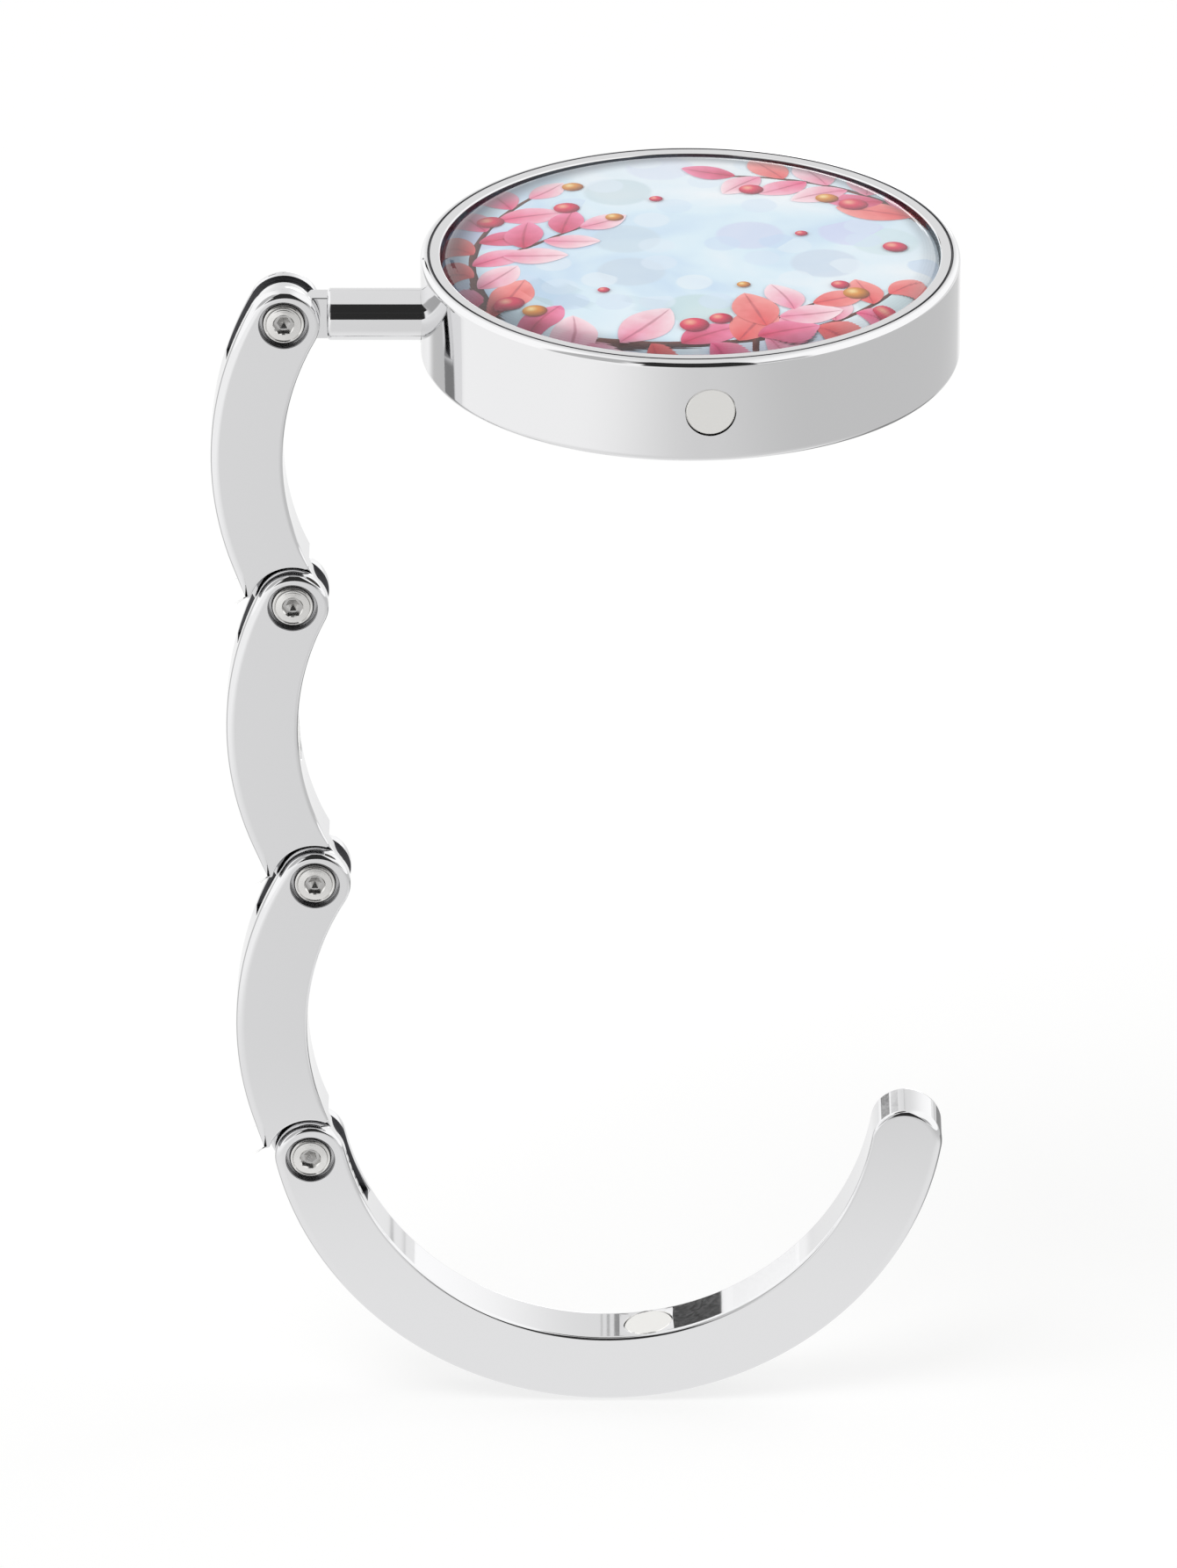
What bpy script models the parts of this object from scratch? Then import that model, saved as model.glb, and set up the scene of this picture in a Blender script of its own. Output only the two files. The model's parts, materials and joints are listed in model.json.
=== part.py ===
"""A folding purse hook: a padded table disc with a chain of curved links that wraps round it.

Units are metres and +Z is up. The origin is the middle of the rubber pad's face, where the disc
stands on a table. The stem leaves the disc along -X, and the chain hangs open below its end, as
in use. Pushed in, turned a quarter and folded at every pin, the chain closes to a ring round
the disc.

Each link is drawn in a frame of its own: its near pin at the origin with the pin's axis along Z,
+Y away from the middle of the closed ring, and +X the way the chain runs on from that pin.
"""

import math

import bmesh
import bpy
from mathutils import Matrix, Vector

MM = 0.001

# Table disc: a die-cast cup, a tray on its top for the print, a recess below for the pad
CASE_RADIUS = 17.5 * MM
CASE_WALL = 2.2 * MM
CASE_EDGE_ROUND = 0.45 * MM
TOP_LIP_WIDTH = 1.3 * MM
BOTTOM_LIP_WIDTH = 1.05 * MM
LIP_CHAMFER = 0.15 * MM
PRINT_RECESS_DEPTH = 1.5 * MM
TRAY_THICKNESS = 0.8 * MM
PAD_PROUD = 0.25 * MM
PAD_THICKNESS = 0.5 * MM
PAD_EDGE_CHAMFER = 0.15 * MM
BASE_PLATE_THICKNESS = 0.3 * MM
PRINT_THICKNESS = 0.25 * MM
DOME_EDGE_HEIGHT = 1.0 * MM
DOME_RISE = 0.8 * MM
DOME_CROWN_POWER = 4
DOME_RADIUS_SHARES = (0, 0.3, 0.5, 0.65, 0.78, 0.88, 0.95, 1)

# Stem: a round rod that slides in and out of the disc and turns, with a flat eye for the chain
STEM_RADIUS = 1.7 * MM
STEM_ROOM = 0.35 * MM
STEM_TRAVEL = 6.2 * MM
STEM_END_CHAMFER = 0.25 * MM
SHOULDER_TO_PIN = 2.8 * MM
EYE_NECK_INSET = 0.65 * MM
EYE_ROOT_LENGTH = 1.0 * MM
SPIGOT_STEP = 0.6 * MM
GUIDE_LENGTH = 3.0 * MM
GUIDE_WIDTH = 7.6 * MM
GUIDE_BELOW_AXIS = 0.9 * MM
RAIL_THICKNESS = 0.8 * MM
RAIL_DEPTH = 2.4 * MM
RAIL_END_ROOM = 1.2 * MM
STOP_PLATE_WIDTH = 6.2 * MM
STOP_PLATE_ROOM = 0.4 * MM
STOP_PLATE_THICKNESS = 1.0 * MM
TAIL_HEAD_INSET = 0.1 * MM
TAIL_HEAD_HEIGHT = 0.8 * MM
TAIL_SHANK_RADIUS = 0.6 * MM
TAIL_SHANK_LENGTH = 3.4 * MM

# Chain: three alike links and the hook, all bands of one width and thickness
BAND_WIDTH = 4.7 * MM
BAND_THICKNESS = 3.8 * MM
BAND_OUTER_ROUND = 0.55 * MM
BAND_INNER_ROUND = 0.25 * MM
HORN_LENGTH = 1.0 * MM
RING_CLEARANCE = 0.3 * MM
LINK_COUNT = 3
MAGNET_LINK = 2
LINK_ARC = math.radians(60.0)
HOOK_ARC = math.radians(157.5)
TONGUE_THICKNESS = 1.4 * MM
TONGUE_INSET = 0.25 * MM
TONGUE_ROOT_LENGTH = 2.15 * MM
SEAT_CLEARANCE = 0.5 * MM
SLOT_BEYOND_TONGUE = 2.2 * MM

# How far each pin stands open when the chain hangs in use: stem, links 2 and 3, hook
REST_OPENING = tuple(math.radians(turn) for turn in (28.75, 57.5, 65.0, 15.8))

# Hinge pins: a flat-headed barrel from one face and a domed socket screw from the other
BARREL_RADIUS = 0.95 * MM
PIN_HEAD_RADIUS = 1.3 * MM
PIN_HEAD_HEIGHT = 0.5 * MM
PIN_HEAD_GROOVE = 0.25 * MM
SCREW_HEAD_RADIUS = 1.4 * MM
SCREW_HEAD_HEIGHT = 0.35 * MM
SCREW_DOME_RISE = 0.15 * MM
SCREW_HEAD_GROOVE = 0.2 * MM
SCREW_SHANK_RADIUS = 0.5 * MM
SCREW_SHANK_LENGTH = 1.6 * MM
HEAD_RECESS = 0.05 * MM
SOCKET_RADIUS = 0.55 * MM
SOCKET_DEPTH = 0.3 * MM
SCREW_RADIUS_SHARES = (0, 0.5, 0.85, 1)

# Keeper magnets: two in the disc's side, one in link 2 and one in the hook
MAGNET_EDGE = 0.3 * MM
MAGNET_LENGTH = 1.2 * MM
HOOK_MAGNET_ARC = math.radians(86.0)

# Clearances
GLUE_GAP = 0.05 * MM
INSERT_GAP = 0.1 * MM
RUNNING_GAP = 0.15 * MM
PIN_GAP = 0.1 * MM
OVERRUN = 1.0 * MM
MERGE_DISTANCE = 0.0001 * MM

# Facets
CASE_SIDES = 96
ROD_SIDES = 32
SMALL_SIDES = 24
ARC_STEP = math.radians(5.0)
END_STEP = math.radians(15.0)
ROUND_STEPS = 3
FLAT_ANGLE = math.radians(0.5)
SHARP_ANGLE = math.radians(35.0)

# Heights of the disc, stacked up from the pad: the stem's room sets the cavity's height
RIM_Z = PAD_PROUD
PLATE_BOTTOM_Z = PAD_THICKNESS + GLUE_GAP
LEDGE_Z = PLATE_BOTTOM_Z + BASE_PLATE_THICKNESS + GLUE_GAP
STEM_Z = LEDGE_Z + STEM_ROOM + STEM_RADIUS
TRAY_BOTTOM_Z = STEM_Z + STEM_RADIUS + STEM_ROOM
TRAY_TOP_Z = TRAY_BOTTOM_Z + TRAY_THICKNESS
TOP_Z = TRAY_TOP_Z + PRINT_RECESS_DEPTH
STOP_PLATE_HEIGHT = TRAY_BOTTOM_Z - LEDGE_Z - 2 * STOP_PLATE_ROOM
TAIL_HEAD_RADIUS = STOP_PLATE_HEIGHT / 2 - TAIL_HEAD_INSET
SPIGOT_RADIUS = STEM_RADIUS - SPIGOT_STEP

# Radii and distances that follow from the sizes
CAVITY_RADIUS = CASE_RADIUS - CASE_WALL
PRINT_RECESS_RADIUS = CASE_RADIUS - TOP_LIP_WIDTH
PAD_RECESS_RADIUS = CASE_RADIUS - BOTTOM_LIP_WIDTH
HALF_BAND = BAND_WIDTH / 2
HALF_THICKNESS = BAND_THICKNESS / 2
INNER_RADIUS = CASE_RADIUS + RING_CLEARANCE
PIN_CIRCLE = INNER_RADIUS + HALF_BAND
OUTER_RADIUS = INNER_RADIUS + BAND_WIDTH
SEAT_RADIUS = HALF_BAND + SEAT_CLEARANCE
HALF_TONGUE = HALF_BAND - TONGUE_INSET
MAGNET_RADIUS = HALF_THICKNESS - MAGNET_EDGE
SCREW_SEAT = HEAD_RECESS + SCREW_DOME_RISE + SCREW_HEAD_HEIGHT - HALF_THICKNESS
STEM_PIN_X = -(PIN_CIRCLE + STEM_TRAVEL)
GUIDE_END_X = -(CAVITY_RADIUS - GUIDE_LENGTH)
STOP_PLATE_X = GUIDE_END_X + RUNNING_GAP
TAIL_HEAD_X = STOP_PLATE_X + STOP_PLATE_THICKNESS + RUNNING_GAP
QUARTER = math.pi / 2
# Closed, the chain runs round the disc from the stem at -X by way of +Y.
CASE_MAGNETS = (
    ("case_magnet_hook_side", math.pi - LINK_COUNT * LINK_ARC - HOOK_MAGNET_ARC),
    ("case_magnet_link_side", math.pi - MAGNET_LINK * LINK_ARC + LINK_ARC / 2),
)

# Colours and finishes: linear colour, metallic, roughness
CHROME = ((0.80, 0.80, 0.81), 1.0, 0.08)
STEEL = ((0.62, 0.62, 0.63), 1.0, 0.25)
NICKEL = ((0.70, 0.69, 0.67), 1.0, 0.18)
PRINT_BLUE = ((0.62, 0.78, 0.90), 0.0, 0.45)
CLEAR_RESIN = ((0.92, 0.95, 0.97), 0.0, 0.05)
BLACK_RUBBER = ((0.03, 0.03, 0.032), 0.0, 0.65)


def clear_scene():
    for old in list(bpy.data.objects):
        bpy.data.objects.remove(old)


def new_collection(name):
    made = bpy.data.collections.new(name)
    bpy.context.scene.collection.children.link(made)
    return made


def finish(piece, look):
    """Give a piece a Principled material of its own, and shade its round sides smooth."""
    colour, metallic, roughness = look
    coat = bpy.data.materials.new(piece.name + "_finish")
    coat.use_nodes = True
    shader = coat.node_tree.nodes["Principled BSDF"]
    shader.inputs["Base Color"].default_value = (*colour, 1.0)
    shader.inputs["Metallic"].default_value = metallic
    shader.inputs["Roughness"].default_value = roughness
    piece.data.materials.append(coat)
    piece.data.shade_smooth()
    piece.data.set_sharp_from_angle(angle=SHARP_ANGLE)


def place(piece, frame, turn=None):
    """Hang a piece on a frame, with its place and turn in that frame as one matrix."""
    piece.parent = frame
    piece.matrix_basis = turn or Matrix.Identity(4)
    return piece


def new_frame(name, parent, turn):
    """An empty on a joint's axis, which carries the pieces that move with it."""
    empty = bpy.data.objects.new(name, None)
    empty.empty_display_size = BAND_WIDTH
    PARTS.objects.link(empty)
    return place(empty, parent, turn)


def mesh_object(name, work, group):
    """Turn a bmesh into an object of a collection."""
    mesh = bpy.data.meshes.new(name)
    work.to_mesh(mesh)
    work.free()
    piece = bpy.data.objects.new(name, mesh)
    group.objects.link(piece)
    return piece


def as_tool(piece):
    """Mark a piece as a cutter or a joining shape, which isn't part of the object."""
    piece.hide_render = True
    piece.display_type = "WIRE"
    return piece


def combine(piece, tool, operation):
    step = piece.modifiers.new(tool.name, "BOOLEAN")
    step.operation = operation
    step.object = tool
    step.solver = "EXACT"


def cut(piece, tool):
    combine(piece, as_tool(tool), "DIFFERENCE")


def join(piece, tool):
    combine(piece, as_tool(tool), "UNION")


def cylinder(name, radius, low, high, group, sides=SMALL_SIDES):
    """A cylinder about Z from one height to another."""
    work = bmesh.new()
    bmesh.ops.create_cone(
        work,
        cap_ends=True,
        segments=sides,
        radius1=radius,
        radius2=radius,
        depth=high - low,
        matrix=Matrix.Translation((0, 0, (low + high) / 2)),
    )
    return mesh_object(name, work, group)


def block(name, low, high, group):
    """A box between two opposite corners."""
    low = Vector(low)
    size = Vector(high) - low
    work = bmesh.new()
    bmesh.ops.create_cube(work, size=1.0)
    bmesh.ops.scale(work, vec=size, verts=work.verts)
    bmesh.ops.translate(work, vec=low + size / 2, verts=work.verts)
    return mesh_object(name, work, group)


def turned(name, profile, group, sides):
    """A body turned about Z from (radius, height) points that run down its outer side."""
    closed = profile[0][0] > 0
    count = len(profile)
    edges = [(i, (i + 1) % count) for i in range(count if closed else count - 1)]
    mesh = bpy.data.meshes.new(name)
    mesh.from_pydata([(radius, 0, height) for radius, height in profile], edges, [])
    piece = bpy.data.objects.new(name, mesh)
    group.objects.link(piece)
    turn = piece.modifiers.new("turn", "SCREW")
    turn.steps = sides
    turn.render_steps = sides
    turn.use_merge_vertices = True
    turn.merge_threshold = MERGE_DISTANCE
    return piece


def arc(centre, radius, start, end, step):
    """Points on a circle from one angle to another, both ends among them."""
    count = max(1, round(abs(end - start) / step))
    angles = [start + (end - start) * i / count for i in range(count + 1)]
    return [
        (centre[0] + radius * math.cos(angle), centre[1] + radius * math.sin(angle))
        for angle in angles
    ]


def without_repeats(points):
    """Drop each point that lies on the one before it, as where two arcs meet."""
    return [
        point
        for point, last in zip(points, [points[-1], *points[:-1]])
        if math.dist(point, last) > MERGE_DISTANCE
    ]


def flat_plate(name, outline, thickness, group):
    """A closed flat outline, filled and given a thickness to both sides of its plane."""
    curve = bpy.data.curves.new(name, "CURVE")
    curve.dimensions = "2D"
    curve.fill_mode = "BOTH"
    curve.extrude = thickness / 2
    outline = without_repeats(outline)
    spline = curve.splines.new("POLY")
    spline.points.add(len(outline) - 1)
    for point, (x, y) in zip(spline.points, outline):
        point.co = (x, y, 0, 1)
    spline.use_cyclic_u = True
    guide = bpy.data.objects.new(name + "_outline", curve)
    group.objects.link(guide)
    graph = bpy.context.evaluated_depsgraph_get()
    mesh = bpy.data.meshes.new_from_object(guide.evaluated_get(graph))
    bpy.data.objects.remove(guide)
    work = bmesh.new()
    work.from_mesh(mesh)
    bpy.data.meshes.remove(mesh)
    bmesh.ops.remove_doubles(work, verts=work.verts, dist=MERGE_DISTANCE)
    bmesh.ops.dissolve_limit(
        work, angle_limit=FLAT_ANGLE, verts=work.verts, edges=work.edges
    )
    bmesh.ops.recalc_face_normals(work, faces=work.faces)
    return mesh_object(name, work, group)


def rounded_corner(centre, radius, start):
    """A quarter circle, turning clockwise from an angle, for a turned profile."""
    step = QUARTER / ROUND_STEPS
    return arc(centre, radius, start, start - QUARTER, step)


def case_profile():
    """Half section of the cast cup, from the tray's middle out, down the wall and back in."""
    edge = CASE_EDGE_ROUND
    outside = CASE_RADIUS - edge
    return [
        (0, TRAY_TOP_Z),
        (PRINT_RECESS_RADIUS, TRAY_TOP_Z),
        (PRINT_RECESS_RADIUS, TOP_Z - LIP_CHAMFER),
        (PRINT_RECESS_RADIUS + LIP_CHAMFER, TOP_Z),
        *rounded_corner((outside, TOP_Z - edge), edge, QUARTER),
        *rounded_corner((outside, RIM_Z + edge), edge, 0.0),
        (PAD_RECESS_RADIUS, RIM_Z),
        (PAD_RECESS_RADIUS, LEDGE_Z),
        (CAVITY_RADIUS, LEDGE_Z),
        (CAVITY_RADIUS, TRAY_BOTTOM_Z),
        (0, TRAY_BOTTOM_Z),
    ]


def laid_along_minus_x(height):
    """The turn and place that lay a Z axis along -X at a height above the table."""
    return Matrix.Translation((0, 0, height)) @ Matrix.Rotation(-QUARTER, 4, "Y")


def laid_outward(middle, angle):
    """The turn and place that lay a Z axis along a radius from a middle, at an angle."""
    return (
        Matrix.Translation(middle)
        @ Matrix.Rotation(angle, 4, "Z")
        @ Matrix.Rotation(QUARTER, 4, "Y")
    )


def set_magnet(name, host, frame, turn, face, inward):
    """A disc magnet glued into a pocket of its host, its flat face at a distance along Z.

    The magnet reaches from its face to the inward side, which is +1 or -1 along Z.
    """
    back = face + inward * MAGNET_LENGTH
    floor = back + inward * GLUE_GAP
    mouth = face - inward * OVERRUN
    pocket = cylinder(
        name + "_pocket",
        MAGNET_RADIUS + GLUE_GAP,
        min(floor, mouth),
        max(floor, mouth),
        TOOLS,
    )
    cut(host, place(pocket, frame, turn))
    magnet = cylinder(name, MAGNET_RADIUS, min(face, back), max(face, back), PARTS)
    finish(place(magnet, frame, turn), NICKEL)


def make_case():
    """The cup, with the stem's guide, its two rails, the bore and the two magnets."""
    case = turned("case_shell", case_profile(), PARTS, CASE_SIDES)
    roof = TRAY_BOTTOM_Z + TRAY_THICKNESS / 2
    guide = block(
        "stem_guide",
        (-(CAVITY_RADIUS + CASE_WALL / 2), -GUIDE_WIDTH / 2, STEM_Z - GUIDE_BELOW_AXIS),
        (GUIDE_END_X, GUIDE_WIDTH / 2, roof),
        TOOLS,
    )
    join(case, guide)
    inner = STOP_PLATE_WIDTH / 2 + RUNNING_GAP
    for name, side in (("rail_front", -1), ("rail_back", 1)):
        sides = sorted((side * inner, side * (inner + RAIL_THICKNESS)))
        rail = block(
            name,
            (GUIDE_END_X - GUIDE_LENGTH / 2, sides[0], TRAY_BOTTOM_Z - RAIL_DEPTH),
            (TAIL_HEAD_X + STEM_TRAVEL + RAIL_END_ROOM, sides[1], roof),
            TOOLS,
        )
        join(case, rail)
    bore = cylinder(
        "stem_bore",
        STEM_RADIUS + RUNNING_GAP,
        -GUIDE_END_X - OVERRUN,
        CASE_RADIUS + OVERRUN,
        TOOLS,
        ROD_SIDES,
    )
    cut(case, place(bore, None, laid_along_minus_x(STEM_Z)))
    # A flat magnet's rim meets the round wall this far from the disc's axis.
    face = math.sqrt(CASE_RADIUS**2 - MAGNET_RADIUS**2)
    for name, angle in CASE_MAGNETS:
        turn = laid_outward((0, 0, (RIM_Z + TOP_Z) / 2), angle)
        set_magnet(name, case, None, turn, face, -1)
    finish(case, CHROME)


def disc(name, radius, low, high, look, chamfer=0):
    """A flat round insert of the table disc, with its lower edge chamfered if asked."""
    profile = [(0, high), (radius, high), (radius, low + chamfer)]
    if chamfer:
        profile.append((radius - chamfer, low))
    finish(turned(name, [*profile, (0, low)], PARTS, CASE_SIDES), look)


def make_inserts():
    """The print under its clear dome, and the base plate with the rubber pad."""
    radius = PRINT_RECESS_RADIUS - INSERT_GAP
    low = TRAY_TOP_Z + GLUE_GAP
    high = low + PRINT_THICKNESS
    disc("print_disc", radius, low, high, PRINT_BLUE)
    low = high + GLUE_GAP
    crown = [
        (radius * share, low + DOME_EDGE_HEIGHT + DOME_RISE * (1 - share**DOME_CROWN_POWER))
        for share in DOME_RADIUS_SHARES
    ]
    dome = turned("clear_dome", [*crown, (radius, low), (0, low)], PARTS, CASE_SIDES)
    finish(dome, CLEAR_RESIN)
    radius = PAD_RECESS_RADIUS - INSERT_GAP
    high = PLATE_BOTTOM_Z + BASE_PLATE_THICKNESS
    disc("base_plate", radius, PLATE_BOTTOM_Z, high, STEEL)
    disc("rubber_pad", radius, 0, PAD_THICKNESS, BLACK_RUBBER, PAD_EDGE_CHAMFER)


def stem_profile():
    """Half section of the rod, its shoulder near the pin on top and the spigot below."""
    shoulder = -SHOULDER_TO_PIN
    rod_end = STEM_PIN_X - STOP_PLATE_X + RUNNING_GAP
    spigot_end = STEM_PIN_X - TAIL_HEAD_X + GLUE_GAP
    return [
        (0, shoulder),
        (STEM_RADIUS - STEM_END_CHAMFER, shoulder),
        (STEM_RADIUS, shoulder - STEM_END_CHAMFER),
        (STEM_RADIUS, rod_end),
        (SPIGOT_RADIUS, rod_end),
        (SPIGOT_RADIUS, spigot_end),
        (0, spigot_end),
    ]


def eye_outline():
    """The flat eye round the first pin, with a neck that runs down into the rod."""
    half_neck = HALF_TONGUE - EYE_NECK_INSET
    root = -(SHOULDER_TO_PIN + EYE_ROOT_LENGTH)
    reach = math.acos(half_neck / HALF_TONGUE)
    round_end = arc((0, 0), HALF_TONGUE, -reach, math.pi + reach, END_STEP)
    return [(half_neck, root), *round_end, (-half_neck, root)]


def make_stem():
    """The stem that slides and turns, the plate that stops it and the screw behind that."""
    stem = turned("swivel_stem", stem_profile(), PARTS, ROD_SIDES)
    place(stem, SWIVEL)
    eye = flat_plate("stem_eye", eye_outline(), TONGUE_THICKNESS, TOOLS)
    join(stem, place(eye, STEM_PIN))
    cut(stem, place(pin_hole("stem_eye_hole"), STEM_PIN))
    tail = Matrix.Translation((0, 0, STEM_PIN_X - TAIL_HEAD_X))
    thread = cylinder(
        "stem_thread",
        TAIL_SHANK_RADIUS + PIN_GAP,
        -OVERRUN,
        TAIL_SHANK_LENGTH + PIN_GAP,
        TOOLS,
    )
    cut(stem, place(thread, SWIVEL, tail))
    finish(stem, CHROME)
    profile = [
        (0, TAIL_SHANK_LENGTH),
        (TAIL_SHANK_RADIUS, TAIL_SHANK_LENGTH),
        (TAIL_SHANK_RADIUS, 0),
        (TAIL_HEAD_RADIUS, 0),
        (TAIL_HEAD_RADIUS, -TAIL_HEAD_HEIGHT),
        (0, -TAIL_HEAD_HEIGHT),
    ]
    screw = turned("stem_tail_screw", profile, PARTS, SMALL_SIDES)
    place(screw, SWIVEL, tail)
    face = -TAIL_HEAD_HEIGHT
    socket = hex_socket("stem_tail_socket", face - OVERRUN, face + SOCKET_DEPTH)
    cut(screw, place(socket, SWIVEL, tail))
    finish(screw, STEEL)
    half_width = STOP_PLATE_WIDTH / 2
    half_height = STOP_PLATE_HEIGHT / 2
    plate = block(
        "stem_stop_plate",
        (0, -half_width, -half_height),
        (STOP_PLATE_THICKNESS, half_width, half_height),
        PARTS,
    )
    place(plate, SLIDE)
    hole = cylinder(
        "stop_plate_hole",
        SPIGOT_RADIUS + RUNNING_GAP,
        -STOP_PLATE_THICKNESS - OVERRUN,
        OVERRUN,
        TOOLS,
    )
    cut(plate, place(hole, SLIDE, laid_along_minus_x(0)))
    finish(plate, STEEL)


def pin_hole(name):
    """A cutter for the hinge barrel, right through a link about its frame's Z axis."""
    reach = HALF_THICKNESS + OVERRUN
    return cylinder(name, BARREL_RADIUS + PIN_GAP, -reach, reach, TOOLS)


def hex_socket(name, low, high):
    work = bmesh.new()
    bmesh.ops.create_cone(
        work,
        cap_ends=True,
        segments=6,
        radius1=SOCKET_RADIUS,
        radius2=SOCKET_RADIUS,
        depth=high - low,
        matrix=Matrix.Translation((0, 0, (low + high) / 2)),
    )
    return mesh_object(name, work, TOOLS)


def on_ring(angle, radius):
    """A point at an angle and radius about the closed ring's middle, in a link's frame."""
    return (radius * math.cos(angle), radius * math.sin(angle) - PIN_CIRCLE)


def to_far_pin():
    """The step from a link's near pin to its far one, not yet turned to the next link."""
    return Matrix.Translation((*on_ring(QUARTER - LINK_ARC, PIN_CIRCLE), 0))


def seat_corner(edge_radius):
    """The angle at the ring's middle between a far pin and its seat's corner on an edge.

    By the cosine rule, in the triangle of the ring's middle, the pin and the corner.
    """
    squares = edge_radius**2 + PIN_CIRCLE**2 - SEAT_RADIUS**2
    return math.acos(squares / (2 * edge_radius * PIN_CIRCLE))


def direction(start, end):
    """The angle from one point to another, between nothing and a full turn."""
    return math.atan2(end[1] - start[1], end[0] - start[0]) % math.tau


def near_end():
    """The rounded end about the near pin, from the band's inner edge to its outer one."""
    return arc((0, 0), HALF_BAND, 3 * QUARTER, QUARTER, END_STEP)


def link_outline():
    """A link seen flat: a curved band with a round near end and a hollow seat at the far end."""
    middle = (0, -PIN_CIRCLE)
    far = QUARTER - LINK_ARC
    far_pin = on_ring(far, PIN_CIRCLE)
    outer_end = far + seat_corner(OUTER_RADIUS)
    inner_end = far + seat_corner(INNER_RADIUS)
    outer_corner = on_ring(outer_end, OUTER_RADIUS)
    inner_corner = on_ring(inner_end, INNER_RADIUS)
    seat = arc(
        far_pin,
        SEAT_RADIUS,
        direction(far_pin, outer_corner),
        direction(far_pin, inner_corner),
        END_STEP,
    )
    return [
        *arc(middle, OUTER_RADIUS, QUARTER, outer_end, ARC_STEP),
        *seat,
        *arc(middle, INNER_RADIUS, inner_end, QUARTER, ARC_STEP),
        *near_end(),
    ]


def hook_outline():
    """The hook seen flat: a long curved band, round at both ends."""
    middle = (0, -PIN_CIRCLE)
    end = QUARTER - HOOK_ARC
    tip = on_ring(end, PIN_CIRCLE)
    return [
        *arc(middle, OUTER_RADIUS, QUARTER, end, ARC_STEP),
        *arc(tip, HALF_BAND, end, end - math.pi, END_STEP),
        *arc(middle, INNER_RADIUS, end, QUARTER, ARC_STEP),
        *near_end(),
    ]


def tongue_outline():
    """The far end's middle leaf: a strip from inside the band to a round end on the far pin."""
    middle = (0, -PIN_CIRCLE)
    far = QUARTER - LINK_ARC
    root = far + (SEAT_RADIUS + TONGUE_ROOT_LENGTH) / PIN_CIRCLE
    return [
        *arc(middle, PIN_CIRCLE + HALF_TONGUE, root, far, ARC_STEP),
        *arc(on_ring(far, PIN_CIRCLE), HALF_TONGUE, far, far - math.pi, END_STEP),
        *arc(middle, PIN_CIRCLE - HALF_TONGUE, far, root, ARC_STEP),
    ]


def soften(band, seat_pin):
    """Round a band's edges, most on the ring's outside, least on its inside and at a seat."""
    work = bmesh.new()
    work.from_mesh(band.data)
    weight = work.edges.layers.float.new("bevel_weight_edge")
    least = BAND_INNER_ROUND / BAND_OUTER_ROUND
    for edge in work.edges:
        if edge.calc_face_angle() > SHARP_ANGLE:
            x, y, _ = (edge.verts[0].co + edge.verts[1].co) / 2
            outward = (math.hypot(x, y + PIN_CIRCLE) - INNER_RADIUS) / BAND_WIDTH
            if seat_pin and math.dist((x, y), seat_pin) < SEAT_RADIUS + HORN_LENGTH:
                outward = 0
            edge[weight] = least + (1 - least) * min(max(outward, 0), 1)
    work.to_mesh(band.data)
    work.free()
    rounding = band.modifiers.new("rounded edges", "BEVEL")
    rounding.width = BAND_OUTER_ROUND
    rounding.segments = 2
    rounding.limit_method = "WEIGHT"


def make_band(name, outline, frame, seat_pin=None):
    """A link's solid band with softened edges, its near end still uncut."""
    band = flat_plate(name, outline, BAND_THICKNESS, PARTS)
    soften(band, seat_pin)
    return place(band, frame)


def cut_fork(band, frame):
    """The near end's slot for a tongue, and its holes for the pin and both heads."""
    name = band.name
    half_slot = TONGUE_THICKNESS / 2 + RUNNING_GAP
    reach = HALF_BAND + OVERRUN
    slot = block(
        name + "_slot",
        (-reach, -reach, -half_slot),
        (HALF_TONGUE + SLOT_BEYOND_TONGUE, reach, half_slot),
        TOOLS,
    )
    cut(band, place(slot, frame))
    cut(band, place(pin_hole(name + "_hole"), frame))
    mouth = HALF_THICKNESS + OVERRUN
    radius = PIN_HEAD_RADIUS + PIN_HEAD_GROOVE
    floor = HALF_THICKNESS - HEAD_RECESS - PIN_HEAD_HEIGHT - GLUE_GAP
    cut(band, place(cylinder(name + "_pin_well", radius, floor, mouth, TOOLS), frame))
    radius = SCREW_HEAD_RADIUS + SCREW_HEAD_GROOVE
    floor = SCREW_SEAT + GLUE_GAP
    cut(band, place(cylinder(name + "_screw_well", radius, -mouth, floor, TOOLS), frame))


def make_pin(name, frame):
    """The barrel pin: a flat head flush with the face and a bore for the screw below."""
    top = HALF_THICKNESS - HEAD_RECESS
    low = SCREW_SEAT + GLUE_GAP
    bore = SCREW_SHANK_RADIUS + PIN_GAP
    bore_top = low + SCREW_SHANK_LENGTH + PIN_GAP
    profile = [
        (0, top),
        (PIN_HEAD_RADIUS, top),
        (PIN_HEAD_RADIUS, top - PIN_HEAD_HEIGHT),
        (BARREL_RADIUS, top - PIN_HEAD_HEIGHT),
        (BARREL_RADIUS, low),
        (bore, low),
        (bore, bore_top),
        (0, bore_top),
    ]
    pin = turned(name, profile, PARTS, SMALL_SIDES)
    finish(place(pin, frame), CHROME)


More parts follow.
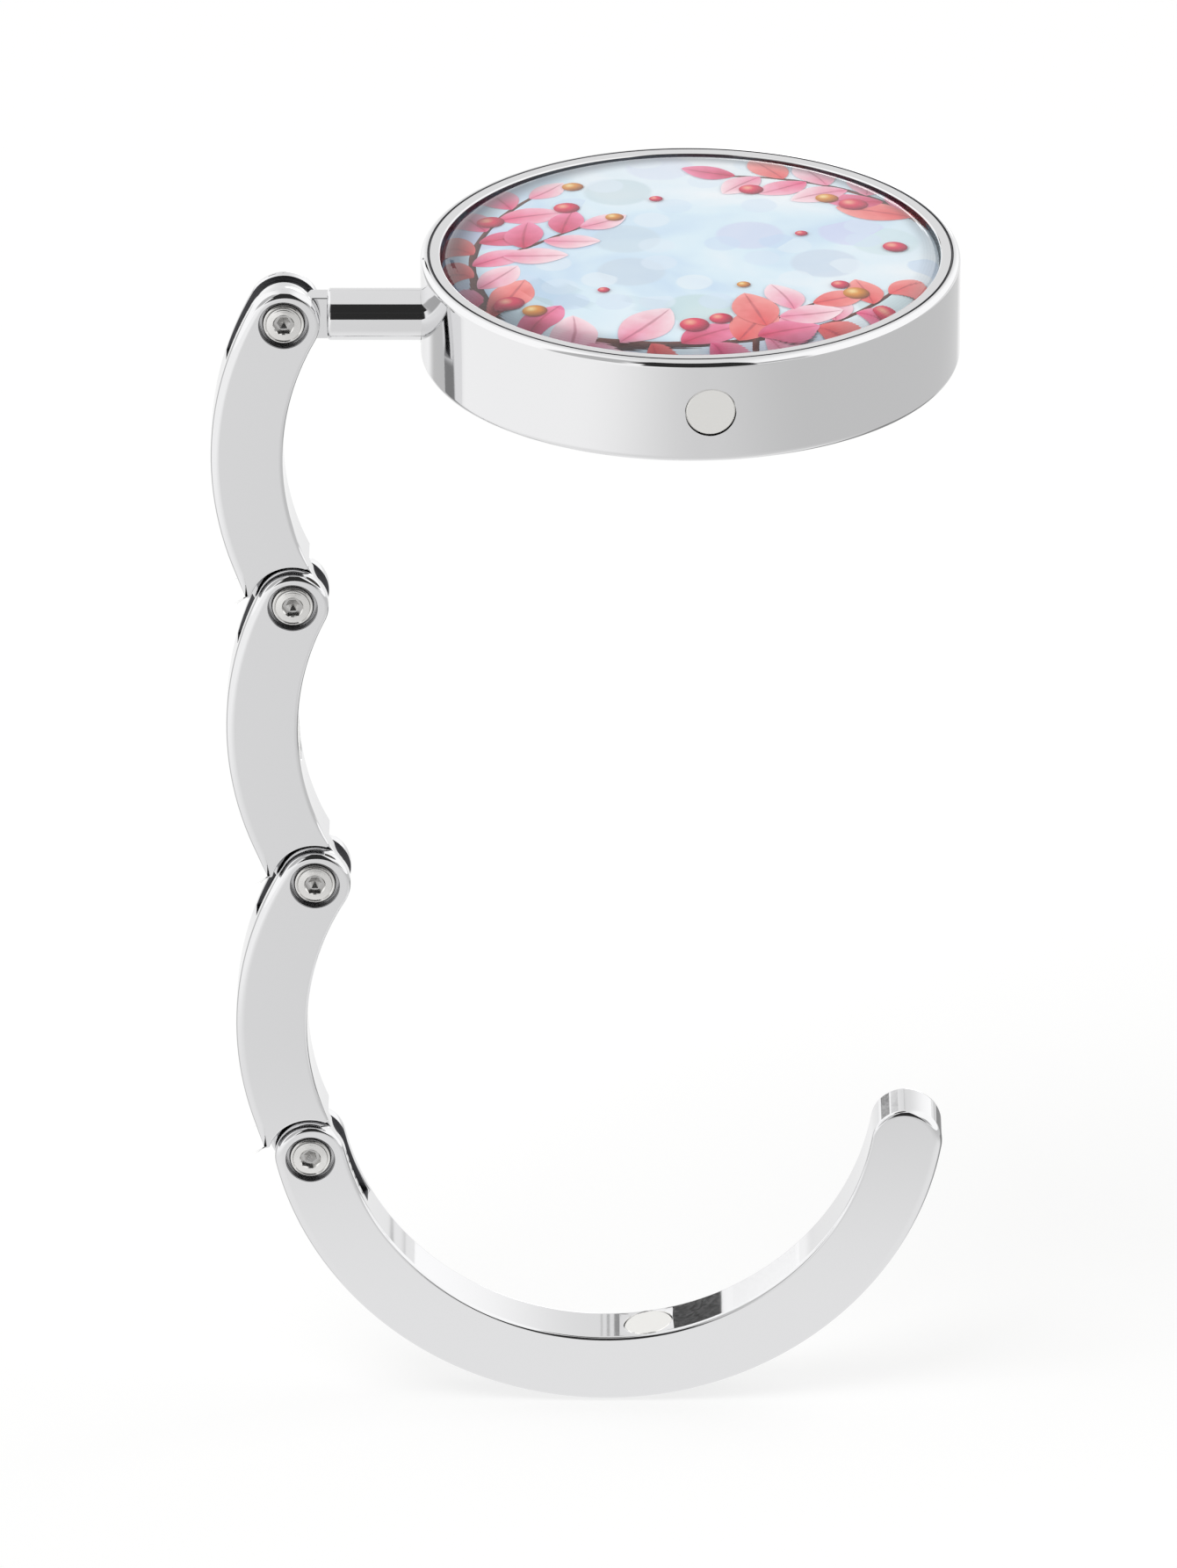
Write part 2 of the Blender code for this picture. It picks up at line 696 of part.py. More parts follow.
def make_screw(name, frame):
    """The screw in the pin: a low domed head with a hexagon socket, and a short shank."""
    face = HEAD_RECESS - HALF_THICKNESS
    rim = face + SCREW_DOME_RISE
    crown = [
        (SCREW_HEAD_RADIUS * share, rim - SCREW_DOME_RISE * (1 - share**2))
        for share in reversed(SCREW_RADIUS_SHARES)
    ]
    profile = [
        (0, SCREW_SEAT + SCREW_SHANK_LENGTH),
        (SCREW_SHANK_RADIUS, SCREW_SEAT + SCREW_SHANK_LENGTH),
        (SCREW_SHANK_RADIUS, SCREW_SEAT),
        (SCREW_HEAD_RADIUS, SCREW_SEAT),
        *crown,
    ]
    screw = turned(name, profile, PARTS, SMALL_SIDES)
    place(screw, frame)
    socket = hex_socket(name + "_socket", face - OVERRUN, face + SOCKET_DEPTH)
    cut(screw, place(socket, frame))
    finish(screw, STEEL)


def make_link(name, frame, with_magnet):
    """One of the three links: the band, its tongue, the fork, the pin and the screw."""
    far_pin = on_ring(QUARTER - LINK_ARC, PIN_CIRCLE)
    link = make_band(name, link_outline(), frame, far_pin)
    tongue = flat_plate(name + "_tongue", tongue_outline(), TONGUE_THICKNESS, TOOLS)
    join(link, place(tongue, frame))
    cut_fork(link, frame)
    cut(link, place(pin_hole(name + "_far_hole"), frame, to_far_pin()))
    if with_magnet:
        turn = laid_outward((0, -PIN_CIRCLE, 0), QUARTER - LINK_ARC / 2)
        set_magnet(name + "_magnet", link, frame, turn, INNER_RADIUS, 1)
    finish(link, CHROME)
    make_pin(name + "_pin", frame)
    make_screw(name + "_screw", frame)


def make_hook(frame):
    hook = make_band("hook_arm", hook_outline(), frame)
    cut_fork(hook, frame)
    turn = laid_outward((0, -PIN_CIRCLE, 0), QUARTER - HOOK_MAGNET_ARC)
    set_magnet("hook_magnet", hook, frame, turn, INNER_RADIUS, 1)
    finish(hook, CHROME)
    make_pin("hook_pin", frame)
    make_screw("hook_screw", frame)


clear_scene()
PARTS = new_collection("folding_purse_hook")
TOOLS = new_collection("cutters")
TOOLS.hide_render = True

# The stop plate slides in the disc, and the stem turns in the plate.
SLIDE = new_frame("slide_axis", None, Matrix.Translation((STOP_PLATE_X, 0, STEM_Z)))
SWIVEL = new_frame(
    "swivel_axis",
    SLIDE,
    Matrix.Translation((STEM_PIN_X - STOP_PLATE_X, 0, 0)) @ laid_along_minus_x(0),
)
# The first pin lies across the stem. At rest the chain runs down from it, and outward is -X.
STEM_PIN = new_frame(
    "stem_pin",
    SWIVEL,
    Matrix.Rotation(math.pi, 4, "Z") @ Matrix.Rotation(QUARTER, 4, "X"),
)

make_case()
make_inserts()
make_stem()

# Each link starts from its folded place on the pin before it, and is turned open from there.
frame = STEM_PIN
folded = Matrix.Identity(4)
for number in range(1, LINK_COUNT + 1):
    opened = folded @ Matrix.Rotation(REST_OPENING[number - 1], 4, "Z")
    frame = new_frame(f"fold_axis_{number}", frame, opened)
    make_link(f"link_{number}", frame, with_magnet=number == MAGNET_LINK)
    folded = to_far_pin() @ Matrix.Rotation(-LINK_ARC, 4, "Z")
opened = folded @ Matrix.Rotation(REST_OPENING[LINK_COUNT], 4, "Z")
make_hook(new_frame("fold_axis_hook", frame, opened))
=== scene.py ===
# %% [markdown]
# # A folding purse hook
# A bag's hook for the table: a padded disc stands on the tabletop, and a chain of three curved
# links and a long hook hangs down beside it. Folded, the same chain closes to a ring round the
# disc. Almost everything is a zinc casting with bright chrome plating, so this lesson is mostly
# about smooth shapes and about what a mirror sees. The solids come from a CAD model whose frame
# is fixed. Each cell adds one piece or one finish to it.

# %% The fixed frame
import json
import math

import bmesh
import bpy
import numpy as np
from mathutils import Matrix, Vector


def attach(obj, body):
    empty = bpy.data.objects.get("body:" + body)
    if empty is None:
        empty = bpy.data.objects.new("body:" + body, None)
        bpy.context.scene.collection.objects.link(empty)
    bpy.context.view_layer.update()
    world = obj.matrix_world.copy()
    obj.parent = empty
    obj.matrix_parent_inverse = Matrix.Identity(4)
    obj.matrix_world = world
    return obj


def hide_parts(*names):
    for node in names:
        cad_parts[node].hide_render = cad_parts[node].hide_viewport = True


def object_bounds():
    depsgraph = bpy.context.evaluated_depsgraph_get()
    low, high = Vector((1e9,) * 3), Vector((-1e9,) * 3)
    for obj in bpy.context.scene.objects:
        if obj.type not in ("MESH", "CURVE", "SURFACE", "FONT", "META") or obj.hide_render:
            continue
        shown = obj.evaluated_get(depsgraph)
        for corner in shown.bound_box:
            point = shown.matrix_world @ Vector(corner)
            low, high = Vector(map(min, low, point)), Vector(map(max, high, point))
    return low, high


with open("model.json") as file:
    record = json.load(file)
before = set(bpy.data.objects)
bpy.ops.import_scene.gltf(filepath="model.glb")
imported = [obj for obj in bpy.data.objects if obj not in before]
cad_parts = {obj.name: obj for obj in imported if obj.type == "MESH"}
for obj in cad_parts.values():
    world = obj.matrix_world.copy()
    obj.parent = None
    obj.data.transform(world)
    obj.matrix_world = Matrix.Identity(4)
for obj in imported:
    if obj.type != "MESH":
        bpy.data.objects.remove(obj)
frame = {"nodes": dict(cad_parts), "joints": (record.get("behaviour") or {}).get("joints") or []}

MM = 0.001
CAD_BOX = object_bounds()
print("CAD box in mm:", [[round(v / MM, 2) for v in corner] for corner in CAD_BOX])

# %% [markdown]
# ## From arrays to a mesh
# Primitives and bevels could rough out these pieces, but chrome shows every kink in the
# shading, so each shape is worked out instead. Two parameters run over a grid, a formula gives
# each crossing its place, and every four neighbours make a face. A shape also gets an extra row
# of points close beside each edge: the bend of the shading then stays inside that narrow strip,
# and the flat beside it stays flat.

# %% Faces of a grid
def grid_quads(shape, wrap=False):
    """Corner numbers of the faces of a grid: a point, its right neighbour, the one below that
    and the one below the first. With wrap, the last column meets the first."""
    index = np.arange(math.prod(shape)).reshape(shape)
    if wrap:
        index = np.concatenate([index, index[..., :1]], axis=-1)
    upper, lower = index[..., :-1, :], index[..., 1:, :]
    around = upper[..., :-1], upper[..., 1:], lower[..., 1:], lower[..., :-1]
    return np.stack(around, axis=-1).reshape(-1, 4).tolist()


# %% A closed skin
WELD = 1e-4


def linked(name, mesh):
    """An object in the scene that shows a mesh."""
    piece = bpy.data.objects.new(name, mesh)
    bpy.context.scene.collection.objects.link(piece)
    return piece


def skin(name, points, faces):
    """An object from points in millimetres, its doubled points welded and its faces turned out."""
    mesh = bpy.data.meshes.new(name)
    mesh.from_pydata(points.reshape(-1, 3).tolist(), [], faces)
    work = bmesh.new()
    work.from_mesh(mesh)
    bmesh.ops.remove_doubles(work, verts=work.verts, dist=WELD)
    bmesh.ops.recalc_face_normals(work, faces=work.faces)
    work.to_mesh(mesh)
    work.free()
    return linked(name, mesh)


# %% Turned shapes
HOLD = 0.03


def held(profile):
    """A profile with a point a little way in from both ends of each long straight run."""
    profile = np.asarray(profile, dtype=float)
    step = np.diff(profile, axis=0)
    length = np.linalg.norm(step, axis=1, keepdims=True)
    inward = step / length * HOLD
    runs = np.stack([profile[:-1], profile[:-1] + inward, profile[1:] - inward], axis=1)
    long_run = length > 4 * HOLD
    keep = np.hstack([np.ones_like(long_run), long_run, long_run])
    return np.vstack([runs[keep], profile[-1:]])


def turned(name, profile, sides):
    """A body turned on a lathe: a profile point (r, h) at turn a lies at (r cos a, r sin a, h)."""
    profile = held(profile)
    angle = np.linspace(0, 2 * np.pi, sides, endpoint=False)
    reach = profile[:, :1]
    rise = np.repeat(profile[:, 1:], sides, axis=1)
    points = np.dstack([reach * np.cos(angle), reach * np.sin(angle), rise])
    return skin(name, points, grid_quads(rise.shape, wrap=True))


def rod(name, radius, low, high, sides=48):
    """A plain cylinder about Z, as a tool for cutting round holes."""
    return turned(name, [(0, low), (radius, low), (radius, high), (0, high)], sides)


def rounded(corner, radius, start, steps):
    """A quarter circle that rounds off a corner, clockwise from an angle in degrees."""
    angle = np.radians(np.linspace(start, start - 90, steps + 1))
    outward = np.column_stack([np.cos(angle), np.sin(angle)])
    return corner + radius * (outward - outward[0] - outward[-1])


# %% Cutting, joining and settling
def baked(piece):
    """Keep the mesh that a piece's modifiers make, and drop the modifiers."""
    graph = bpy.context.evaluated_depsgraph_get()
    made = bpy.data.meshes.new_from_object(piece.evaluated_get(graph))
    piece.modifiers.clear()
    piece.data = made
    return piece


def combine(piece, tool, operation):
    """Cut a tool out of a piece, or join it on, and throw the tool away."""
    step = piece.modifiers.new("combine", "BOOLEAN")
    step.operation = operation
    step.object = tool
    step.solver = "EXACT"
    baked(piece)
    bpy.data.objects.remove(tool)
    return piece


def moved(piece, place):
    """Move the points of a piece, so that its object stays at the origin."""
    piece.data.transform(place)
    return piece


SHARP = math.radians(32)


def settle(piece, body, finish, place=Matrix.Identity(4), instead_of=()):
    """Take a piece from millimetres to its place in metres, on its body and in its finish."""
    moved(piece, Matrix.Scale(MM, 4) @ place)
    piece.data.materials.clear()
    piece.data.materials.append(finish)
    piece.data.shade_smooth()
    piece.data.set_sharp_from_angle(angle=SHARP)
    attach(piece, body)
    if instead_of:
        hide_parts(*instead_of)
    size = [round(v / MM, 2) for v in piece.dimensions]
    print(piece.name, "size in mm", size, "faces", len(piece.data.polygons))


# %% [markdown]
# ## Nodes and colours
# A material here is a small network of nodes. One helper adds a node, sets it up and links it.
# Colours are picked on a screen as sRGB hex values, but light adds up in linear numbers, so one
# function turns the first into the second.

# %% One helper for every node
def node(tree, kind, inputs=(), **settings):
    """Add a node. Its inputs come as a list in the node's own order, or by name. A node among
    them is linked from its first output in use, a socket is linked, and any other value is set."""
    made = tree.nodes.new("ShaderNode" + kind)
    for name, value in settings.items():
        setattr(made, name, value)
    pairs = inputs.items() if isinstance(inputs, dict) else enumerate(inputs)
    for name, value in pairs:
        if isinstance(value, bpy.types.Node):
            value = next(socket for socket in value.outputs if socket.enabled)
        if isinstance(value, bpy.types.NodeSocket):
            tree.links.new(value, made.inputs[name])
        else:
            made.inputs[name].default_value = value
    return made


SMOOTH = {"interpolation_type": "SMOOTHSTEP"}
PAINT = {"data_type": "RGBA"}


def colour(code):
    """A hex colour as linear red, green, blue and a full alpha: a share s of the screen's
    range becomes s / 12.92 in the dark part and ((s + 0.055) / 1.055) to the power 2.4 above."""
    share = np.array([int(code[i : i + 2], 16) for i in (1, 3, 5)]) / 255
    linear = np.where(share <= 0.04045, share / 12.92, ((share + 0.055) / 1.055) ** 2.4)
    return (*linear.tolist(), 1.0)


def new_material(name):
    """An empty material, and the object's own coordinates, which its patterns sit on."""
    made = bpy.data.materials.new(name)
    made.use_nodes = True
    made.node_tree.nodes.clear()
    own = node(made.node_tree, "TexCoord").outputs["Object"]
    return made, made.node_tree, own


WHITE = colour("#FFFFFF")

# %% [markdown]
# ## Camera
# The photograph is taken straight on to the open chain. The ellipses of the disc and the hook
# tell how far down it looks: about 24 degrees at the disc and 26.5 at the hook, as a long lens
# does from a little over a metre away. The camera could be matched point by point, but two
# ellipses and the object's height fix it well enough.

# %% Camera
VIEW_ELEVATION = math.radians(25.4)
AIM = Vector((-6.6, 0.0, -30.8)) * MM
FRAME_HEIGHT = 103 * MM
LENS = 400.0
SENSOR = 36.0
distance = FRAME_HEIGHT * LENS / SENSOR
backwards = Vector((0, -math.cos(VIEW_ELEVATION), math.sin(VIEW_ELEVATION)))
lens = bpy.data.cameras.new("camera")
lens.lens = LENS
lens.sensor_width = SENSOR
lens.clip_start = 0.01
camera = linked("camera", lens)
camera.location = AIM + backwards * distance
camera.rotation_euler = (-backwards).to_track_quat("-Z", "Y").to_euler()
bpy.context.scene.camera = camera
bpy.context.scene.view_settings.view_transform = "Standard"
print("camera stands off by", round(distance, 3), "m")

# %% [markdown]
# ## Floor and light
# Bright chrome has hardly a colour of its own: it shows the room. The photograph's room is a
# white tent with a dark opening towards the camera, a brighter sheet overhead and behind, and a
# white table that gets a little darker towards the front and the right. A panorama picture
# could be that room, but areas drawn with nodes can be set one by one, until the reflections
# lie about where the photograph has them. What is the background to the camera is plain white.

# %% Floor
FLOOR_SIZE = 4.0
FLOOR_Z = CAD_BOX[0][2] - 0.05 * MM
edges = (-FLOOR_SIZE / 2, FLOOR_SIZE / 2)
floor_mesh = bpy.data.meshes.new("floor")
floor_mesh.from_pydata([(x, y, FLOOR_Z) for x in edges for y in edges], [], [(0, 2, 3, 1)])
linked("floor", floor_mesh)


# %% Soft-edged areas
def band(tree, value, low, high, soft):
    """1 where a value lies between two limits and 0 outside. Each edge takes soft both ways."""
    rise = node(tree, "MapRange", [value, low - soft, low + soft, 0.0, 1.0], **SMOOTH)
    fall = node(tree, "MapRange", [value, high - soft, high + soft, 1.0, 0.0], **SMOOTH)
    return node(tree, "Math", [rise, fall], operation="MULTIPLY")


def card(tree, place, middle, half, soft):
    """1 on a card that lies on the table, given by its middle and half sizes in mm. The Mapping
    node gives each point its place on the card in half sizes, from -1 to 1 both ways."""
    location, scale = (Vector((*pair, 0)) * MM for pair in (middle, half))
    scaled = {"Vector": place, "Location": location, "Scale": scale + Vector((0, 0, 1))}
    scaled = node(tree, "Mapping", scaled, vector_type="TEXTURE")
    x, y, _ = node(tree, "SeparateXYZ", [scaled]).outputs
    bands = [band(tree, x, -1, 1, soft[0]), band(tree, y, -1, 1, soft[1])]
    return node(tree, "Math", bands, operation="MULTIPLY")


# %% The table as the metal sees it
paper, tree, place = new_material("matt white table paper")
x, y, _ = node(tree, "SeparateXYZ", [place]).outputs
# The table darkens from the left to the middle and on to the right.
leftwards = node(tree, "MapRange", [x, -150 * MM, 20 * MM, 1.08, 0.77], **SMOOTH)
rightwards = node(tree, "MapRange", [x, 20 * MM, 150 * MM, 1.0, 0.85], **SMOOTH)
level = node(tree, "Math", [leftwards, rightwards], operation="MULTIPLY")
# Behind the chain on the left it lies in a shade, which gives the links their grey outline.
SHADE_FROM = 28 * MM
off_foot = node(tree, "Math", [x, SHADE_FROM], operation="ADD")
direction = node(tree, "Math", [off_foot, y], operation="ARCTAN2")
shade = band(tree, direction, math.radians(-63), math.radians(-30), math.radians(6))
# Bright cards lie round the hook and far behind on the right, so that its inner side stays
# clean. A dark one on the right is what the disc's wall shows as a band under the stem.
MASKS = (
    (card(tree, place, (0, 1000), (62.5, 1037.5), (0.28, 0.022)), 0.95),
    (card(tree, place, (400, 1110), (370, 910), (0.03, 0.01)), 0.95),
    (shade, 0.6),
    (card(tree, place, (60, 50), (37, 42.5), (0.135, 0.176)), 0.3),
)
for mask, value in MASKS:
    level = node(tree, "Mix", {"Factor": mask, "A": level, "B": value})

# %% White paper of the table
ray = node(tree, "LightPath").outputs
matt = node(tree, "BsdfDiffuse", {"Color": colour("#FBFBFA")})
white = node(tree, "Emission", {"Color": WHITE, "Strength": 1.06})
seen = node(tree, "MixShader", [0.65, matt, white])
in_metal = node(tree, "Emission", {"Color": WHITE, "Strength": level})
surface = node(tree, "MixShader", [ray["Is Camera Ray"], matt, seen])
surface = node(tree, "MixShader", [ray["Is Glossy Ray"], surface, in_metal])
# From below the sheet isn't there, so that the pad can be looked at too.
below = node(tree, "NewGeometry").outputs["Backfacing"]
surface = node(tree, "MixShader", [below, surface, node(tree, "BsdfTransparent")])
node(tree, "OutputMaterial", {"Surface": surface})
floor_mesh.materials.append(paper)
print("floor nodes", len(tree.nodes))

# %% [markdown]
# ## The tent
# Windows and openings are patches of the tent's sky, brighter or darker than the cloth. In front
# and behind they're given by a turn from straight ahead and a height. A wall that bends about
# the Y axis, such as the hook's inner side, mirrors a ring of sky round straight back. The
# ring's radius is the angle from which the camera looks down on the wall, and the place on the
# ring is twice the wall's slope, so a patch of a ring shows on one stretch of the hook only.

# %% Ways to place a patch
world = bpy.data.worlds.new("white tent")
bpy.context.scene.world = world
world.use_nodes = True
sky = world.node_tree
sky.nodes.clear()
x, y, z = node(sky, "SeparateXYZ", [node(sky, "TexCoord").outputs["Generated"]]).outputs
height = node(sky, "Math", [z], operation="ARCSINE")
forwards = node(sky, "Math", [y, -1.0], operation="MULTIPLY")
off_back = node(sky, "Math", [y], operation="ARCCOSINE")
WAYS = {
    "front": (node(sky, "Math", [x, forwards], operation="ARCTAN2"), height),
    "back": (node(sky, "Math", [x, y], operation="ARCTAN2"), height),
    "ring": (node(sky, "Math", [x, z], operation="ARCTAN2"), off_back),
}

# %% What the metal sees above the table
# Patches as (way, its two spans and softness in degrees, level), last ones on top.
PATCHES = (
    ("back", (1, 15), (-2, 9), 1.5, 2.6),
    ("front", (-62, -27), (5, 60), 4.0, 0.55),
    ("front", (27, 50), (3, 25), 3.0, 0.5),
    ("front", (-27, 27), (27, 67), 1.2, 0.03),
    ("front", (-20, 27), (-2, 28), 1.2, 0.03),
    ("ring", (-50, -26), (26.65, 30), 0.15, 0.03),
    ("ring", (-6.7, -3.1), (26.65, 30), 0.15, 0.3),
    ("ring", (-1.2, 0.0), (26.65, 30), 0.15, 0.5),
    ("ring", (1.8, 2.6), (26.65, 30), 0.15, 0.6),
    ("ring", (-90, -56), (26.0, 26.6), 0.15, 0.03),
)
sideways = node(sky, "Math", [x], operation="ABSOLUTE")
cloth = node(sky, "MapRange", [sideways, 0.05, 0.5, 0.88, 1.2], **SMOOTH)
for way, *spans, soft, value in PATCHES:
    limits = np.radians([(*span, soft) for span in spans]).tolist()
    bands = [band(sky, angle, *limit) for angle, limit in zip(WAYS[way], limits)]
    mask = node(sky, "Math", bands, operation="MULTIPLY")
    cloth = node(sky, "Mix", {"Factor": mask, "A": cloth, "B": value})

# %% World
DIFFUSE_SKY = 0.6
ray = node(sky, "LightPath").outputs
plain = [ray["Is Camera Ray"], ray["Is Transmission Ray"]]
plain = node(sky, "Math", plain, operation="MAXIMUM")
strength = node(sky, "Mix", {"Factor": plain, "A": DIFFUSE_SKY, "B": 1.0})
strength = node(sky, "Mix", {"Factor": ray["Is Glossy Ray"], "A": strength, "B": cloth})
light = node(sky, "Background", {"Color": WHITE, "Strength": strength})
node(sky, "OutputWorld", {"Surface": light})
print("patches in the tent", len(PATCHES))


# %% Two soft lamps
def soft_lamp(name, place, size, power):
    """A square lamp sheet in metres and watts, turned to the middle of the object."""
    sheet = bpy.data.lights.new(name, "AREA")
    sheet.size = size
    sheet.energy = power
    lamp = linked(name, sheet)
    lamp.location = place
    lamp.rotation_euler = (AIM - lamp.location).to_track_quat("-Z", "Y").to_euler()
    lamp.visible_glossy = False


soft_lamp("key lamp", (-0.6, -0.5, 1.4), 0.8, 9.0)
soft_lamp("fill lamp", (1.1, 0.3, 1.2), 1.0, 4.0)

# %% [markdown]
# ## Bright chrome plating
# Chrome over polished zinc is a mirror with a faint cool tint. Up close the polishing leaves a
# slow waviness a millimetre or two across, called orange peel, and hair-thin scratches. One
# roughness for all of it would look too perfect, and a painted map would need every casting
# unwrapped. So both are noise on the object's own coordinates, and weak, because the eye should
# read them only where a reflection has an edge. In slots, wells and grooves the polishing wheel
# never reaches the metal and the plating is thin, so they stay dull. They are also painted a
# darker grey, which is painted shade for the shade that falls in them. Each face of a casting
# carries a number for that, from 0 for open to 1 for deep.

# %% How deep a face lies
# The grey that deep faces are painted towards: painted shade, not a colour of the plating.
PAINTED_SHADE = "#57575A"
DEEP_ROUGHNESS = 0.4


def mark_recess(piece, test):
    """Write the number on each face. The test gets all faces' middles and normals in mm."""
    faces = piece.data.polygons
    middle = np.empty(3 * len(faces), dtype=np.float32)
    normal = np.empty_like(middle)
    faces.foreach_get("center", middle)
    faces.foreach_get("normal", normal)
    depth = test(middle.reshape(-1, 3), normal.reshape(-1, 3))
    mark = piece.data.attributes.new("recess", "FLOAT", "FACE")
    mark.data.foreach_set("value", depth.astype(np.float32))
    return piece


def bare_metal(tree, code, rough, relief, relief_height):
    """A metal with a relief, which turns dull and, as painted shade, darker with the faces' number.
    """
    depth = node(tree, "Attribute", attribute_name="recess").outputs["Fac"]
    tint = node(tree, "Mix", {"Factor": depth, "A": colour(code), "B": colour(PAINTED_SHADE)}, **PAINT)
    rough = node(tree, "Mix", {"Factor": depth, "A": rough, "B": DEEP_ROUGHNESS})
    bump = node(tree, "Bump", {"Height": relief, "Distance": relief_height})
    look = {"Base Color": tint, "Metallic": 1.0, "Roughness": rough, "Normal": bump}
    node(tree, "OutputMaterial", {"Surface": node(tree, "BsdfPrincipled", look)})


# %% Chrome plating on the castings
PEEL_SIZE = 1.6 * MM
# A scratch is about this long, and a twelfth to a thirtieth of it across. A real one is a
# hundredth of a millimetre across, which is too fine to show.
SCRATCH_SIZE = 2.5 * MM


def plated_metal(name, code, roughness, peel_height):
    """Bright plating: orange peel as bump, and scratches that vary the roughness a little."""
    made, tree, place = new_material(name)
    peel = {"Vector": place, "Scale": 1 / PEEL_SIZE, "Detail": 1.0, "Roughness": 0.4}
    drawn_out = {"Vector": place, "Rotation": (0.4, 0.9, 0.2), "Scale": (1.0, 12.0, 30.0)}
    drawn_out = node(tree, "Mapping", drawn_out)
    fine = {"Vector": drawn_out, "Scale": 1 / SCRATCH_SIZE, "Detail": 3.0}
    fine = node(tree, "TexNoise", fine)
    rough = node(tree, "MapRange", [fine, 0.35, 0.75, roughness, roughness + 0.02], **SMOOTH)
    bare_metal(tree, code, rough, node(tree, "TexNoise", peel), peel_height)
    return made


CHROME = plated_metal("bright chrome plating on a zinc casting", "#E5E5E6", 0.045, 0.0007 * MM)
NICKEL = plated_metal("nickel plating on a sintered magnet", "#F8F7F4", 0.25, 0.001 * MM)

# %% [markdown]
# ## Steel of the pins and screws
# A pin's flat head is faced on a lathe, which leaves fine rings about its axis. The rings are a
# sine of the distance from that axis, so each head needs the pattern centred on itself: a
# Mapping node moves the axis to the origin and flattens the length along it.

# %% Faced steel
# A lathe leaves rings about half as wide, which is too fine to show.
RING_PITCH = 0.12 * MM
RING_HEIGHT = 0.0006 * MM
MOTTLE_SIZE = 0.5 * MM


def faced_steel(name, code, roughness, centre):
    """Lathe-faced steel: height is the sine of the distance from the axis, one pitch a ring."""
    made, tree, place = new_material(name)
    flat = {"Vector": place, "Location": -centre, "Scale": (1.0, 0.0, 1.0)}
    reach = node(tree, "VectorMath", [node(tree, "Mapping", flat)], operation="LENGTH")
    turns = node(tree, "Math", [reach, 2 * math.pi / RING_PITCH], operation="MULTIPLY")
    rings = node(tree, "Math", [turns], operation="SINE")
    mottle = {"Vector": place, "Scale": 1 / MOTTLE_SIZE, "Detail": 3.0}
    mottle = node(tree, "TexNoise", mottle)
    rough = node(tree, "MapRange", [mottle, 0.3, 0.7, roughness, roughness + 0.12], **SMOOTH)
    bare_metal(tree, code, rough, rings, RING_HEIGHT)
    return made


# %% [markdown]
# ## The cup of the disc
# The disc's body is one die casting: a wall with a rounded lip, a tray on top for the print and
# a shallow recess below for the pad. Cylinders cut out of one another could make it, but a half
# section turned about Z gives all its round walls at once and without a seam. Only the guide,
# the rails and the bore are joined on and cut. A thin line runs round the lip between its
# rounded outside and its flat.

# %% Sizes of the disc
CASE_RADIUS = 17.5
CAVITY_RADIUS = 15.3
PRINT_RADIUS = 16.2
PAD_RADIUS = 16.45
RIM_Z = 0.25
LEDGE_Z = 0.9
TRAY_BOTTOM = 5.0
TRAY_TOP = 5.8
TOP_Z = 7.3
EDGE_ROUND = 0.45
STEM_Z = 2.95
ROD_RADIUS = 1.7
MAGNET_RADIUS = 1.6
MAGNET_LENGTH = 1.2

# %% Half section of the cup
LIP_ROUND = 0.14
RIM_ROUND = 0.1
# The groove's depth, its width at the top, and where its flat bottom starts and ends.
GROOVE = 0.09
GROOVE_WIDTH = 0.17
GROOVE_BOTTOM = (0.13, 0.05)
outside = CASE_RADIUS - EDGE_ROUND
# From the middle of the tray over the lip and its groove, down the wall and back inside.
cup_section = np.vstack(
    [
        [(0, TRAY_TOP), (PRINT_RADIUS, TRAY_TOP)],
        rounded((PRINT_RADIUS, TOP_Z), LIP_ROUND, 180, 4),
        [(outside - GROOVE_WIDTH, TOP_Z)],
        [(outside - inset, TOP_Z - GROOVE) for inset in GROOVE_BOTTOM],
        [(outside, TOP_Z)],
        rounded((CASE_RADIUS, TOP_Z), EDGE_ROUND, 90, 8)[1:],
        rounded((CASE_RADIUS, RIM_Z), EDGE_ROUND, 0, 8),
        rounded((PAD_RADIUS, RIM_Z), RIM_ROUND, 270, 3),
        [(PAD_RADIUS, LEDGE_Z), (CAVITY_RADIUS, LEDGE_Z)],
        [(CAVITY_RADIUS, TRAY_BOTTOM), (0, TRAY_BOTTOM)],
    ]
)
cup = turned("disc_cup", cup_section, 192)
print("cup section points", len(cup_section))


# %% Guide, rails and bore
def block(name, low, high):
    """A box between two corners, as the eight sums of the two corners' parts."""
    limits = np.array([low, high], dtype=float)
    pick = np.array([(i, j, k) for i in (0, 1) for j in (0, 1) for k in (0, 1)])
    sides = [(0, 1, 3, 2), (4, 6, 7, 5), (0, 4, 5, 1), (2, 3, 7, 6), (0, 2, 6, 4), (1, 5, 7, 3)]
    return skin(name, limits[pick, np.arange(3)], sides)


ROOF = (TRAY_BOTTOM + TRAY_TOP) / 2
GUIDE_START = -16.4
GUIDE_END = -12.3
GUIDE_BOTTOM = STEM_Z - 0.9
HALF_GUIDE = 3.8
RAIL_START = -13.8
RAIL_END = -2.6
RAIL_BOTTOM = 2.6
RAIL_INSIDE = 3.25
RAIL_OUTSIDE = 4.05
BORE_RADIUS = ROD_RADIUS + 0.15
LYING = Matrix.Rotation(-math.pi / 2, 4, "Y")
